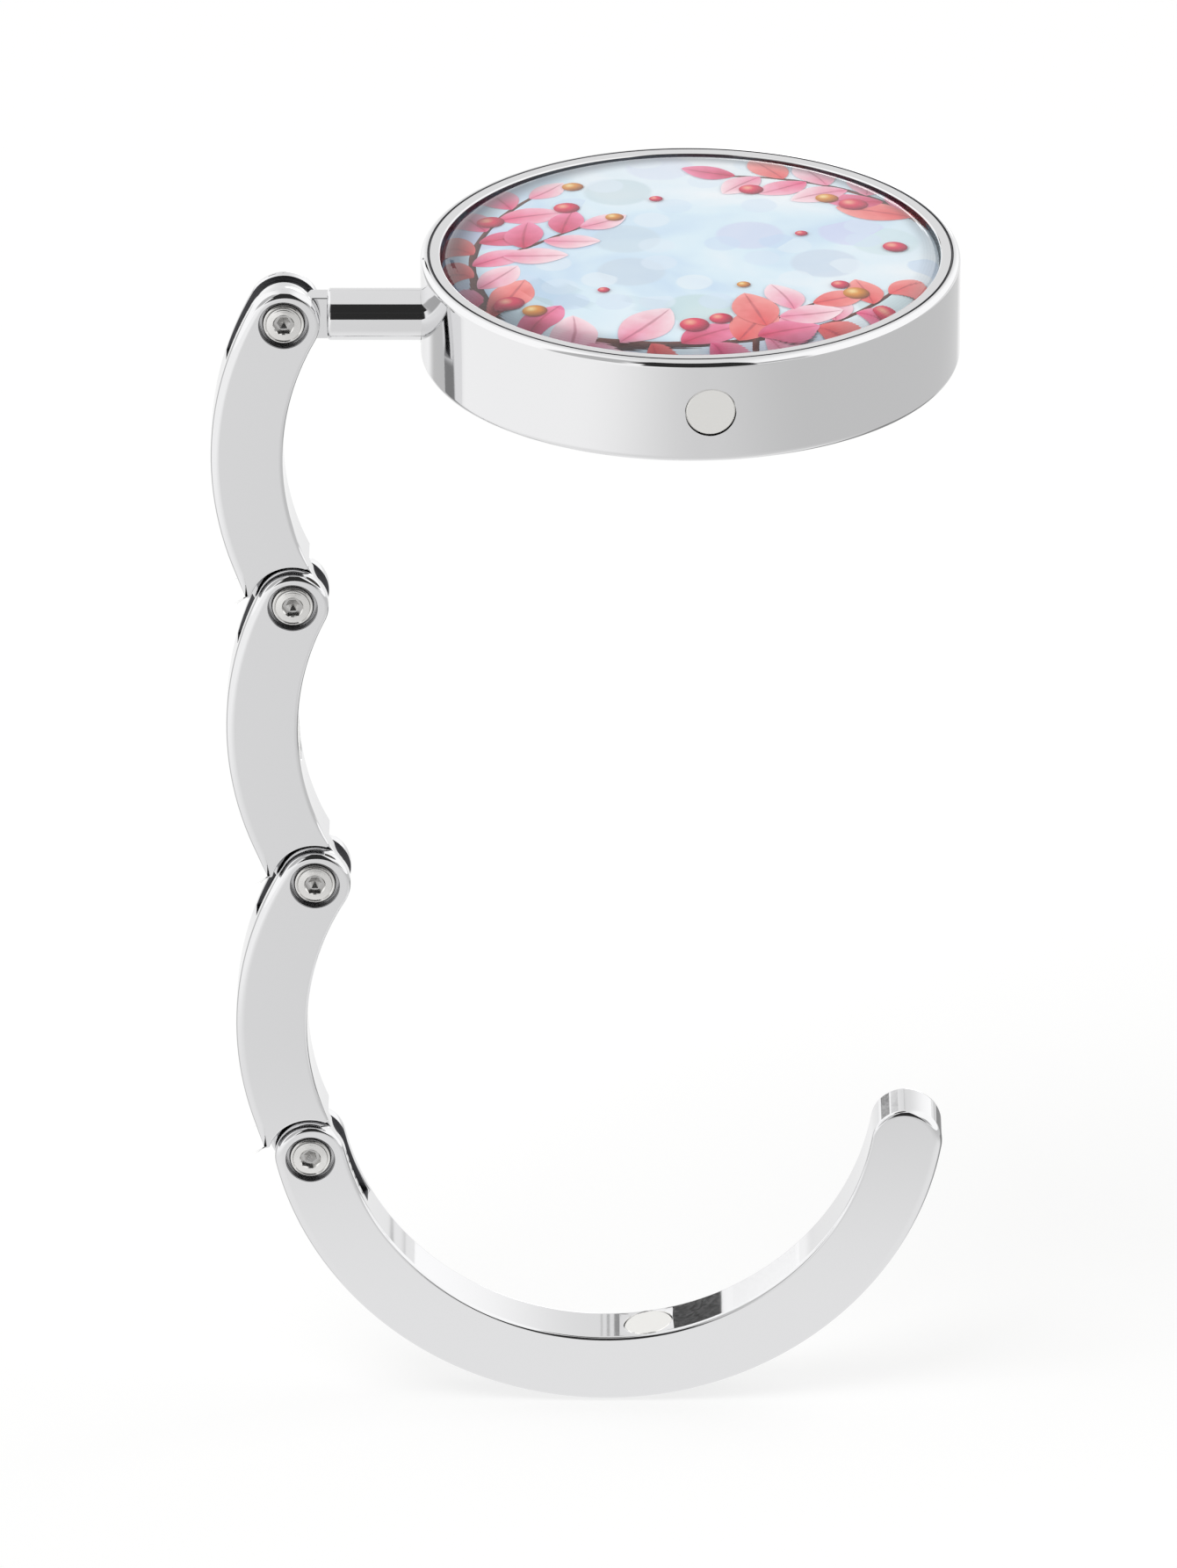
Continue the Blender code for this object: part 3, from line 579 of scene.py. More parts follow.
# The guide that the rod slides in, and the two rails beside the rod.
BLOCKS = (
    ((GUIDE_START, -HALF_GUIDE, GUIDE_BOTTOM), (GUIDE_END, HALF_GUIDE, ROOF)),
    ((RAIL_START, -RAIL_OUTSIDE, RAIL_BOTTOM), (RAIL_END, -RAIL_INSIDE, ROOF)),
    ((RAIL_START, RAIL_INSIDE, RAIL_BOTTOM), (RAIL_END, RAIL_OUTSIDE, ROOF)),
)
for low, high in BLOCKS:
    combine(cup, block("guide or rail", low, high), "UNION")
bore = rod("bore", BORE_RADIUS, -GUIDE_END - 1, CASE_RADIUS + 1, 64)
combine(cup, moved(bore, Matrix.Translation((0, 0, STEM_Z)) @ LYING), "DIFFERENCE")


# %% [markdown]
# ## Keeper magnets
# Four small disc magnets hold the folded chain shut: two in the wall of the disc, one in the
# second link and one in the hook. A magnet could simply be sunk in its wall. It gets a round
# pocket instead, because the thin dark gap is what sets it off from the casting. Its nickel
# plating is a little duller and warmer than the chrome.

# %% A magnet and its pocket
POCKET_GAP = 0.05
MAGNET_EASE = 0.08


def facing(middle, angle):
    """The place of a Z axis that points along a radius from a middle, at an angle in degrees."""
    along = Matrix.Rotation(math.radians(angle), 4, "Z") @ Matrix.Rotation(math.pi / 2, 4, "Y")
    return Matrix.Translation(middle) @ along


def set_magnet(host, name, face, inward, place):
    """Cut the pocket into the host, and return the magnet that fills it."""
    bottom = face + inward * MAGNET_LENGTH
    low, high = sorted((face - inward, bottom + inward * POCKET_GAP))
    pocket = rod("pocket", MAGNET_RADIUS + POCKET_GAP, low, high, 64)
    combine(host, moved(pocket, place), "DIFFERENCE")
    section = [
        (0, face),
        (MAGNET_RADIUS - MAGNET_EASE, face),
        (MAGNET_RADIUS, face + inward * MAGNET_EASE),
        (MAGNET_RADIUS, bottom),
        (0, bottom),
    ]
    return moved(turned(name, section, 64), place)


# %% Magnets in the wall of the disc
wall_face = math.sqrt(CASE_RADIUS**2 - MAGNET_RADIUS**2)
for node_name, angle in (("case_magnet_hook_side", -86), ("case_magnet_link_side", 90)):
    seat = facing((0, 0, (RIM_Z + TOP_Z) / 2), angle)
    magnet = set_magnet(cup, node_name + "_disc", wall_face, -1, seat)
    settle(magnet, "case", NICKEL, instead_of=[node_name])


def cup_recess(middle, normal):
    """Painted shade in the lip's groove and on the wall round the print, a cylinder of its radius.
    """
    reach = np.hypot(middle[:, 0], middle[:, 1])
    groove = (np.abs(reach - outside + GROOVE) < GROOVE) & (middle[:, 2] > TOP_Z - 2 * GROOVE)
    return groove | (np.abs(reach - PRINT_RADIUS) < 0.02)


mark_recess(cup, cup_recess)
settle(cup, "case", CHROME, instead_of=["case_shell"])

# %% [markdown]
# ## Rubber pad
# The pad grips the table. It is die-cut from a sheet of dense rubber, which gives a slightly
# rounded cut edge, a dark warm grey rather than a black, and a fine even grain that breaks up
# the shine. The grain could be real dents in the mesh, but for something so small a bump in the
# material is enough. The real grain is about a tenth of a millimetre. It is drawn at a fifth,
# so that it still shows.

# %% Rubber
GRAIN_SIZE = 0.2 * MM
CLOUD_SIZE = 7 * MM
RUBBER, tree, place = new_material("die-cut rubber sheet")
grain = node(tree, "TexNoise", {"Vector": place, "Scale": 1 / GRAIN_SIZE, "Detail": 4.0})
cloud = node(tree, "TexNoise", {"Vector": place, "Scale": 1 / CLOUD_SIZE, "Detail": 3.0})
greys = {"Factor": cloud, "A": colour("#3E3B38"), "B": colour("#494642")}
look = {
    "Base Color": node(tree, "Mix", greys, **PAINT),
    "Roughness": node(tree, "MapRange", [grain, 0.3, 0.7, 0.6, 0.75], **SMOOTH),
    "Normal": node(tree, "Bump", {"Height": grain, "Strength": 0.6, "Distance": 0.02 * MM}),
}
node(tree, "OutputMaterial", {"Surface": node(tree, "BsdfPrincipled", look)})

# %% Pad
PAD_TOP = 0.5
PAD_ROUND = 0.15
PAD_GAP = 0.1
edge = PAD_RADIUS - PAD_GAP
top = [(0, PAD_TOP), (edge, PAD_TOP)]
pad_section = np.vstack([top, rounded((edge, 0), PAD_ROUND, 0, 4), [(0, 0)]])
pad = turned("table_pad", pad_section, 192)
settle(pad, "case", RUBBER, instead_of=["rubber_pad"])

# %% [markdown]
# ## The print
# Under the resin lies a printed paper disc. The picture is made up for this lesson: sprays of
# rose-coloured leaves and berries on brown twigs, round a pale blue ground of watercolour
# blots. The ground is a material, because soft blots are easy to get from noise. The sprays
# are thin films of ink drawn as meshes, because a leaf needs a crisp edge from near and far.

# %% Watercolour ground
WASH_SIZE = 11 * MM
WASH = ((0.3, "#C3DCF4"), (0.5, "#DCF0FB"), (0.72, "#F4FAFE"))
GROUND, tree, place = new_material("printed coated paper")
wash = {"Vector": place, "Scale": 1 / WASH_SIZE, "Detail": 3.0, "Distortion": 0.6}
tint = node(tree, "ValToRGB", {"Fac": node(tree, "TexNoise", wash)})
stops = tint.color_ramp.elements
stops.new(0.5)
for stop, (position, code) in zip(stops, WASH):
    stop.position = position
    stop.color = colour(code)


# %% Blots and the shade of the rim
def blots(tree, place, under, size, codes):
    """Soft round blots, one to a Voronoi cell, some of them tinted and some left out."""
    spread = {"Vector": place, "Scale": 1 / size, "Randomness": 0.75}
    cells = node(tree, "TexVoronoi", spread, voronoi_dimensions="2D").outputs
    hue, luck, _ = node(tree, "SeparateColor", [cells["Color"]]).outputs
    pair = {"Factor": hue, "A": colour(codes[0]), "B": colour(codes[1])}
    disc = node(tree, "MapRange", [cells["Distance"], 0.33, 0.40, 0.6, 0.0], **SMOOTH)
    chosen = node(tree, "MapRange", [luck, 0.45, 0.5, 0.0, 1.0], **SMOOTH)
    mask = node(tree, "Math", [disc, chosen], operation="MULTIPLY")
    over = {"Factor": mask, "A": under, "B": node(tree, "Mix", pair, **PAINT)}
    return node(tree, "Mix", over, **PAINT)


def rim_shade(tree, place, under):
    """Close to the rim the resin's edge shades the print to a slate blue. The shade is wide
    and strong on the left and in front, and narrow and weak on the right and behind."""
    flat = node(tree, "Mapping", {"Vector": place, "Scale": (1.0, 1.0, 0.0)})
    reach = node(tree, "VectorMath", [flat], operation="LENGTH")
    x, y, _ = node(tree, "SeparateXYZ", [place]).outputs
    span = [node(tree, "Math", [x, y], operation="ADD"), -18 * MM, 18 * MM]
    start = node(tree, "MapRange", [*span, 12.6 * MM, 14.6 * MM], **SMOOTH)
    near_rim = node(tree, "MapRange", [reach, start, 15.9 * MM, 0.0, 1.0], **SMOOTH)
    strong = node(tree, "MapRange", [*span, 1.0, 0.5], **SMOOTH)
    mask = node(tree, "Math", [near_rim, strong], operation="MULTIPLY")
    slate = {"Factor": mask, "A": under, "B": colour("#3C4558")}
    return node(tree, "Mix", slate, blend_type="MULTIPLY", **PAINT)


under = blots(tree, place, tint, 6.0 * MM, ("#BFDCD8", "#D2D3F4"))
under = blots(tree, place, under, 3.2 * MM, ("#F0F9FD", "#C6DCF5"))
look = {"Base Color": rim_shade(tree, place, under), "Roughness": 0.5}
node(tree, "OutputMaterial", {"Surface": node(tree, "BsdfPrincipled", look)})
frame["nodes"]["print_disc"].material_slots[0].material = GROUND

# %% Printing inks
BLEED_SIZE = 0.9 * MM
INK, tree, place = new_material("printing inks")
bleed = node(tree, "TexNoise", {"Vector": place, "Scale": 1 / BLEED_SIZE, "Detail": 4.0})
uneven = {
    "Factor": node(tree, "MapRange", [bleed, 0.35, 0.75, 0.0, 0.3], **SMOOTH),
    "A": node(tree, "Attribute", attribute_name="ink"),
    "B": colour("#FFE9EC"),
}
uneven = node(tree, "Mix", uneven, blend_type="OVERLAY", **PAINT)
look = {"Base Color": rim_shade(tree, place, uneven), "Roughness": 0.5}
node(tree, "OutputMaterial", {"Surface": node(tree, "BsdfPrincipled", look)})

# %% A layer of ink
PRINT_Z = 6.1
FILM = 0.003
PRINT_EDGE = 16.05


def ink_layer(name, across, tones, layer):
    """Flat films of ink on the print. A film's points keep inside the print's edge: a point
    beyond it moves in along its radius. Each film lies a step above the one before it."""
    films, rows, columns = across.shape[:3]
    reach = np.linalg.norm(across, axis=-1, keepdims=True)
    across = across * np.minimum(1, PRINT_EDGE / np.maximum(reach, WELD))
    rise = PRINT_Z + FILM * (layer + np.arange(films))
    rise = np.broadcast_to(rise[:, None, None, None], (films, rows, columns, 1))
    points = np.concatenate([across, rise], axis=-1)
    mesh = bpy.data.meshes.new(name)
    mesh.from_pydata(points.reshape(-1, 3).tolist(), [], grid_quads((films, rows, columns)))
    stain = mesh.color_attributes.new("ink", "FLOAT_COLOR", "POINT")
    alpha = np.ones(tones.shape[:-1] + (1,))
    stain.data.foreach_set("color", np.concatenate([tones, alpha], axis=-1).ravel())
    settle(linked(name, mesh), "case", INK)
    return layer + films


def tones_of(*codes):
    """Several hex colours as an array of linear colours without alpha."""
    return np.array([colour(code)[:3] for code in codes])


# %% Twigs
# Each twig is a cubic Bezier curve: its four points are weighted by the Bernstein polynomials.
TWIGS = np.array(
    [
        [(-6.5, -15.5), (-15.0, -9.0), (-16.5, 1.0), (-10.0, 9.5)],
        [(-8.0, -12.5), (1.0, -15.5), (9.0, -13.0), (13.0, -5.5)],
        [(15.5, 4.0), (13.5, 9.5), (8.5, 12.5), (2.5, 12.6)],
        [(-13.2, -1.0), (-10.5, 0.5), (-8.8, 3.0), (-6.8, 4.2)],
        [(4.0, -13.9), (4.4, -11.0), (6.0, -9.0), (8.2, -7.6)],
    ]
)
TWIG_WIDTH = np.array([0.85, 0.75, 0.65, 0.45, 0.45])
BARK = tones_of("#2A0F14", "#6E3325")


def bezier(knots, share):
    """Points and directions of cubic curves (curve, 4, 2) at shares of the way along."""
    rest = 1 - share
    weight = np.stack([rest**3, 3 * share * rest**2, 3 * share**2 * rest, share**3], axis=-1)
    slope = np.stack([rest**2, 2 * share * rest, share**2], axis=-1)
    points = np.einsum("...k,...kd->...d", weight, knots[..., None, :, :])
    ahead = np.einsum("...k,...kd->...d", slope, np.diff(knots, axis=-2)[..., None, :, :])
    return points, ahead / np.linalg.norm(ahead, axis=-1, keepdims=True)


def ribbons(knots, width):
    """Tapered ribbons along curves: a point steps aside from the curve by the half width,
    which falls from full at the root to a third at the tip. Bark is lighter on one side."""
    share = np.linspace(0, 1, 25)
    points, ahead = bezier(knots, share[None])
    aside = np.stack([-ahead[..., 1], ahead[..., 0]], axis=-1)
    knobbly = 1 + 0.12 * np.sin(share * 31 + knots[:, :1, 0])
    half = width[:, None] / 2 * (1 - 0.66 * share) * knobbly
    step = np.linspace(-1, 1, 5)
    grid = points[:, :, None] + aside[:, :, None] * (half[..., None] * step)[..., None]
    lit = ((step + 1) / 2)[None, None, :, None]
    return grid, BARK[0] * (1 - lit) + BARK[1] * lit + 0 * grid[..., :1]


layer = ink_layer("print_twigs", *ribbons(TWIGS, TWIG_WIDTH), 0)
print("twigs", len(TWIGS))

# %% Leaves
LEAVES_ON = (15, 13, 11, 5, 5)
LEAF_ROOTS = tones_of("#C2154F", "#E83C7A", "#E2484E", "#EC7B9E")
LEAF_TIPS = tones_of("#F58AAE", "#FCC2D3", "#FA9C98", "#FEE3EA")
MIDRIB = tones_of("#A3304F")[0]


def leaf_places(seed):
    """Where the leaves grow: spaced along each twig, on its two sides in turn."""
    chance = np.random.default_rng(seed)
    which = np.repeat(np.arange(len(LEAVES_ON)), LEAVES_ON)
    order = np.concatenate([np.arange(count) for count in LEAVES_ON])
    share = (order + 0.7) / np.take(LEAVES_ON, which)
    root, ahead = bezier(TWIGS[which], np.minimum(share, 1.0)[:, None])
    lean = np.where(order % 2, 1, -1) * np.radians(38 + 22 * chance.random(len(which)))
    lean = np.where(share > 0.93, 0.2 * lean, lean)
    heading = np.arctan2(ahead[:, 0, 1], ahead[:, 0, 0]) + lean
    length = (5.4 - 1.8 * share) * (0.8 + 0.35 * chance.random(len(which)))
    return root[:, 0], heading, length, chance.random(len(which))


def leaves(root, heading, length, mood):
    """Leaves as grids: t runs from stalk to tip and s from edge to edge. The half width is
    0.3 of the length times sin(pi t) to the power 0.75, and the midrib bends by t squared."""
    t = np.linspace(0, 1, 19)[None, :, None]
    s = np.array([-1, -0.75, -0.45, -0.1, -0.04, 0.04, 0.1, 0.45, 0.75, 1])[None, None, :]
    length = length[:, None, None]
    half = 0.3 * length * np.sin(np.pi * t.clip(0, 1)) ** 0.75
    ahead = length * t + 0 * s
    aside = half * s + (mood[:, None, None] - 0.5) * 0.35 * length * t**2
    cos, sin = np.cos(heading)[:, None, None], np.sin(heading)[:, None, None]
    x = root[:, 0, None, None] + ahead * cos - aside * sin
    y = root[:, 1, None, None] + ahead * sin + aside * cos
    pick = (mood * len(LEAF_ROOTS)).astype(int)
    base, tip = LEAF_ROOTS[pick][:, None, None], LEAF_TIPS[pick][:, None, None]
    fade = np.clip(t * 0.9 + 0.35 * np.abs(s) - 0.1, 0, 1)[..., None]
    blade = base * (1 - fade) + tip * fade
    rib = (np.abs(s) < 0.06)[..., None] * (t < 0.95)[..., None]
    return np.stack([x, y], axis=-1), np.where(rib, blade * 0.55 + MIDRIB * 0.3, blade)


layer = ink_layer("print_leaves", *leaves(*leaf_places(4)), layer)
print("leaves", sum(LEAVES_ON))

# %% Berries
# Each berry is a middle and a radius in mm.
BERRIES = np.array(
    [
        [(-11.6, -7.6, 0.95), (-10.0, -8.8, 0.8), (-12.9, 5.2, 0.9), (-8.0, 7.2, 0.85)],
        [(-7.6, 10.8, 0.7), (0.2, -11.2, 0.95), (1.9, -10.3, 0.75), (10.6, -6.2, 0.85)],
        [(12.4, -8.6, 0.8), (10.6, 8.0, 0.95), (8.9, 8.9, 0.75), (4.0, 10.2, 0.8)],
        [(13.2, 1.2, 0.8), (-4.9, 5.6, 0.6), (9.6, -5.0, 0.6), (-2.2, 8.6, 0.45)],
        [(3.4, -5.2, 0.45), (-5.6, -6.0, 0.4), (7.2, 3.0, 0.42), (0.0, 0.0, 0.0)],
    ]
).reshape(-1, 3)[:-1]
ROSE = tones_of("#F8B193", "#DB2A55", "#7E1436")
OCHRE = tones_of("#FBE3A0", "#D98C2B", "#7A3A14")
GLINT = (-0.3, 0.35)


def berries(middles, radius):
    """Round films: rings r to the rim at turns a. The tone goes from a light spot above the
    middle to a dark rim, by the distance of a point from that spot. Every third berry is
    ochre and the others are rose."""
    r = np.linspace(0.001, 1, 7)[None, :, None]
    a = np.linspace(0, 2 * np.pi, 29)[None, None, :]
    across = np.stack(np.broadcast_arrays(r * np.cos(a), r * np.sin(a)), axis=-1)
    grid = middles[:, None, None] + across * radius[:, None, None, None]
    away = np.linalg.norm(across - GLINT, axis=-1, keepdims=True)
    ripe = np.arange(len(radius)) % 3 == 1
    skins = np.where(ripe[:, None, None], OCHRE, ROSE)[:, None, None]
    body = np.clip(away / 0.55, 0, 1)
    dark = np.clip((away - 0.55) / 0.8, 0, 1)
    shade = skins[..., 0, :] * (1 - body) + skins[..., 1, :] * body
    return grid, shade * (1 - dark) + skins[..., 2, :] * dark


layer = ink_layer("print_berries", *berries(BERRIES[:, :2], BERRIES[:, 2]), layer)
print("berries", len(BERRIES), "top of the inks at", round(PRINT_Z + FILM * layer, 2), "mm")

# %% [markdown]
# ## Epoxy dome
# A drop of clear epoxy is poured on the print and pulled into a low dome by its own surface. It
# is nearly flat in the middle and rounds off quickly at the lip, where it catches a long white
# glint. A slice of a sphere would bend evenly all over, so the section is a formula instead.
# The resin refracts for the eye, but it lets lamp light straight through, or the picture below
# would be lit only by noise.

# %% Clear epoxy
SWELL_SIZE = 9 * MM
EPOXY, tree, place = new_material("clear cast epoxy")
swell = node(tree, "TexNoise", {"Vector": place, "Scale": 1 / SWELL_SIZE, "Detail": 0.0})
look = {
    "Base Color": WHITE,
    "Roughness": 0.015,
    "IOR": 1.5,
    "Transmission Weight": 1.0,
    "Normal": node(tree, "Bump", {"Height": swell, "Distance": 0.01 * MM}),
}
ray = node(tree, "LightPath").outputs
passing = [ray["Is Shadow Ray"], ray["Is Diffuse Ray"]]
passing = node(tree, "Math", passing, operation="MAXIMUM")
resin = node(tree, "BsdfPrincipled", look)
surface = node(tree, "MixShader", [passing, resin, node(tree, "BsdfTransparent")])
node(tree, "OutputMaterial", {"Surface": surface})

# %% Dome
DOME_RADIUS = 16.12
DOME_BOTTOM = 6.05
CROWN_Z = 7.9
CROWN_FALL = 0.6
SHOULDER = 1.0
SHOULDER_FALL = 0.55
FLAT_RADIUS = 14.0
close_set = DOME_RADIUS - SHOULDER * (1 - np.sin(np.linspace(-1.2, 1.5707, 14)))
spans = np.concatenate([np.linspace(0, FLAT_RADIUS, 15), close_set])
spans = np.unique(np.round(np.clip(spans, 0, DOME_RADIUS), 4))
# The fall from the crown is the fourth power of the radius share, and past the shoulder's
# start also a quarter of an ellipse.
beyond = np.clip((spans - (DOME_RADIUS - SHOULDER)) / SHOULDER, 0, 1)
fall = CROWN_FALL * (spans / DOME_RADIUS) ** 4 + SHOULDER_FALL * (1 - np.sqrt(1 - beyond**2))
crown = np.column_stack([spans, CROWN_Z - fall])
dome = turned("epoxy_dome", np.vstack([crown, [(DOME_RADIUS, DOME_BOTTOM), (0, DOME_BOTTOM)]]), 192)
settle(dome, "case", EPOXY, instead_of=["clear_dome"])
print("dome edge at", round(float(crown[-1, 1]), 2), "mm")

# %% [markdown]
# ## Curved links
# Every link is a piece of the same ring: a band 4.7 mm wide and 3.8 mm thick. Seen flat, its
# outline is a chain of arcs. The near end is round about its pin and split into a fork. The far
# end is hollowed to clear the next link's round end, with a tongue that reaches into that
# link's fork. A section swept along the ring would have the same edges all the way. Here the
# outer edges are clearly softer than the inner ones, and the hollow's are crisper still, so a
# link is a plate whose rim has its own rounding at each point of the outline.

# %% Sizes of the chain
BAND_WIDTH = 4.7
HALF_BAND = BAND_WIDTH / 2
HALF_THICK = 1.9
INNER_RADIUS = 17.8
PIN_CIRCLE = INNER_RADIUS + HALF_BAND
OUTER_RADIUS = INNER_RADIUS + BAND_WIDTH
SEAT_RADIUS = HALF_BAND + 0.5
OUTER_ROUND = 0.55
INNER_ROUND = 0.25
SEAT_ROUND = 0.13
SEAT_BLEND = 1.6
HORN_ROUND = 0.2
TONGUE_ROUND = 0.1
HALF_TONGUE = 2.1
TONGUE_HALF_THICK = 0.7
TONGUE_ROOT = 2.15
SLOT_HALF_THICK = 0.85
SLOT_END = 4.3
PIN_HOLE_RADIUS = 1.05
LINK_ARC = 60.0
HOOK_ARC = 157.5
RING_MIDDLE = np.array([0.0, -PIN_CIRCLE])


def on_ring(angle, radius):
    """The point at an angle in degrees and a radius about the ring's middle."""
    turn = math.radians(angle)
    return RING_MIDDLE + radius * np.array([math.cos(turn), math.sin(turn)])


# %% Outline from arcs
def arc(centre, radius, start, end, hollow=False):
    """Points of an arc in degrees, and the way out of the metal at each: along the radius, or
    against it where the metal is hollow. A step is 2 degrees, and 4 on a small arc."""
    fine = 2.0 if radius > 5 else 4.0
    count = max(3, math.ceil(abs(end - start) / fine)) + 1
    angle = np.radians(np.linspace(start, end, count))
    outward = np.column_stack([np.cos(angle), np.sin(angle)])
    return centre + radius * outward, -outward if hollow else outward


def straight(start, end):
    """Points along a line, and the way out of the metal, which is on the line's left."""
    points = np.linspace(start, end, 4)
    ahead = (points[-1] - points[0]) / math.dist(start, end)
    return points, np.tile((-ahead[1], ahead[0]), (4, 1))


def outline(*runs):
    """All runs in a row, without the points that two runs share."""
    points, outward = (np.vstack(parts) for parts in zip(*runs))
    gap = np.linalg.norm(points - np.roll(points, 1, axis=0), axis=1)
    return points[gap > 0.004], outward[gap > 0.004]


# %% Plate with rounded rims
ROUND_ROWS = 6


def plate(name, points, outward, half_thick, rounding):
    """A flat plate. At a turn t from 0 on the face to a quarter on the wall, the rim lies
    in from the outline by r(1 - sin t) and below the face by r(1 - cos t), where r is the
    rounding at that point. A row beside each end of the turn keeps face and wall flat."""
    rounding = np.broadcast_to(rounding, len(points))
    turn = np.linspace(0, np.pi / 2, ROUND_ROWS + 1)[:, None]
    inset = rounding * (1 - np.sin(turn))
    drop = rounding * (1 - np.cos(turn))
    inset = np.vstack([inset[:1] + HOLD, inset, inset[-1:]])
    drop = np.vstack([drop[:1], drop, drop[-1:] + HOLD])
    flat = points[None] - outward[None] * inset[..., None]
    upper = np.dstack([flat, half_thick - drop])
    grid = np.concatenate([upper, upper[::-1] * (1, 1, -1)])
    rows, columns = grid.shape[:2]
    faces = grid_quads((rows, columns), wrap=True)
    faces += [list(range(columns)), list(range((rows - 1) * columns, rows * columns))]
    return skin(name, grid, faces)


# %% Link seen flat
def bearing(start, end):
    """The angle in degrees from one point to another."""
    return math.degrees(math.atan2(end[1] - start[1], end[0] - start[0])) % 360


def horn(radius, reach):
    """The angle at the ring's middle from the far pin to a point at a radius, a reach away
    from that pin, by the cosine rule."""
    squares = radius**2 + PIN_CIRCLE**2 - reach**2
    return math.degrees(math.acos(squares / (2 * radius * PIN_CIRCLE)))


FAR = 90 - LINK_ARC
far_pin = on_ring(FAR, PIN_CIRCLE)
outer_horn = FAR + horn(OUTER_RADIUS - HORN_ROUND, SEAT_RADIUS + HORN_ROUND)
inner_horn = FAR + horn(INNER_RADIUS + HORN_ROUND, SEAT_RADIUS + HORN_ROUND)
outer_tip = on_ring(outer_horn, OUTER_RADIUS - HORN_ROUND)
inner_tip = on_ring(inner_horn, INNER_RADIUS + HORN_ROUND)
seat_start = bearing(far_pin, outer_tip)
seat_end = bearing(far_pin, inner_tip)
near_end = arc((0, 0), HALF_BAND, 270, 90)
link_points, link_outward = outline(
    arc(RING_MIDDLE, OUTER_RADIUS, 90, outer_horn),
    arc(outer_tip, HORN_ROUND, outer_horn, seat_start - 180),
    arc(far_pin, SEAT_RADIUS, seat_start, seat_end, hollow=True),
    arc(inner_tip, HORN_ROUND, seat_end - 180, inner_horn - 180),
    arc(RING_MIDDLE, INNER_RADIUS, inner_horn, 90, hollow=True),
    near_end,
)
print("link outline", len(link_points), "points, seat", round(seat_start), round(seat_end))


# %% How much each edge is rounded
def eased(share):
    """A share from 0 to 1 with a smooth start and end: 3 s squared less 2 s cubed."""
    share = np.clip(share, 0, 1)
    return share**2 * (3 - 2 * share)


def rounding_of(points, seat=None):
    """From the inner to the outer rounding with the distance from the ring's middle, and
    down to the seat's own small one close to a seat."""
    outwards = (np.linalg.norm(points - RING_MIDDLE, axis=1) - INNER_RADIUS) / BAND_WIDTH
    round_here = INNER_ROUND + (OUTER_ROUND - INNER_ROUND) * eased(outwards)
    if seat is None:
        return round_here
    away = (np.linalg.norm(points - seat, axis=1) - SEAT_RADIUS) / SEAT_BLEND
    return SEAT_ROUND + (round_here - SEAT_ROUND) * eased(away)


# %% Tongue and fork
LEDGE = 1.3
HEAD_ROOM = 1.55
SCREW_ROOM = 1.6
HOLE_EASE = 0.05


def make_tongue():
    """The far end's middle leaf: a strip along the ring, round about the far pin."""
    root = FAR + math.degrees((SEAT_RADIUS + TONGUE_ROOT) / PIN_CIRCLE)
    points, outward = outline(
        arc(RING_MIDDLE, PIN_CIRCLE + HALF_TONGUE, root, FAR),
        arc(far_pin, HALF_TONGUE, FAR, FAR - 180),
        arc(RING_MIDDLE, PIN_CIRCLE - HALF_TONGUE, FAR, root, hollow=True),
    )
    return plate("tongue", points, outward, TONGUE_HALF_THICK, TONGUE_ROUND)


def cut_fork(casting):
    """The slot for the next tongue, and the stepped hole for the pin and its screw."""
    reach = HALF_BAND + 1.0
    slot = ((-reach, -reach, -SLOT_HALF_THICK), (SLOT_END, reach, SLOT_HALF_THICK))
    combine(casting, block("slot", *slot), "DIFFERENCE")
    past = HALF_THICK + 1.1
    section = [
        (0, -past),
        (SCREW_ROOM + HOLE_EASE, -past),
        (SCREW_ROOM + HOLE_EASE, -HALF_THICK),
        (SCREW_ROOM, HOLE_EASE - HALF_THICK),
        (SCREW_ROOM, -LEDGE),
        (PIN_HOLE_RADIUS, -LEDGE),
        (PIN_HOLE_RADIUS, LEDGE),
        (HEAD_ROOM, LEDGE),
        (HEAD_ROOM, HALF_THICK - HOLE_EASE),
        (HEAD_ROOM + HOLE_EASE, HALF_THICK),
        (HEAD_ROOM + HOLE_EASE, past),
        (0, past),
    ]
    combine(casting, turned("pin hole", section, 64), "DIFFERENCE")


# %% Worn edges
def ease_edges(piece):
    """Take the sharpness off cut edges, as the polishing before the plating does."""
    step = piece.modifiers.new("eased edges", "BEVEL")
    step.width = HOLD
    step.segments = 2
    step.angle_limit = math.radians(50)
    step.use_clamp_overlap = False
    return baked(piece)


# %% Slots, wells and seats
NEARLY = 0.03
# How much painted shade and dullness the wells' walls, their ledges and the seats get.
WELL = 0.75
WELL_LEDGE = 0.4
SEAT = 0.5


def fork_recess(middle, normal):
    """Painted shade and dullness: 1 in the slot, less in the stepped hole and least on its ledges.
    """
    x, y, z = middle.T
    level = np.abs(z)
    flat = np.abs(normal[:, 2]) > 0.9
    near_pin = np.hypot(x, y) < SCREW_ROOM + HOLE_EASE + NEARLY
    slot = flat & (np.abs(level - SLOT_HALF_THICK) < NEARLY)
    slot_end = (np.abs(x - SLOT_END) < NEARLY) & (level < SLOT_HALF_THICK)
    ledge = flat & (np.abs(level - LEDGE) < NEARLY) & near_pin
    return np.maximum.reduce([slot | slot_end, WELL * (~flat & near_pin), WELL_LEDGE * ledge])


def link_recess(middle, normal):
    """As in a fork, and painted shade at a half on the hollow seat round the far pin."""
    reach = np.hypot(middle[:, 0] - far_pin[0], middle[:, 1] - far_pin[1])
    seat = (np.abs(reach - SEAT_RADIUS) < NEARLY) & (np.abs(normal[:, 2]) < 0.9)
    return np.maximum(fork_recess(middle, normal), SEAT * seat)


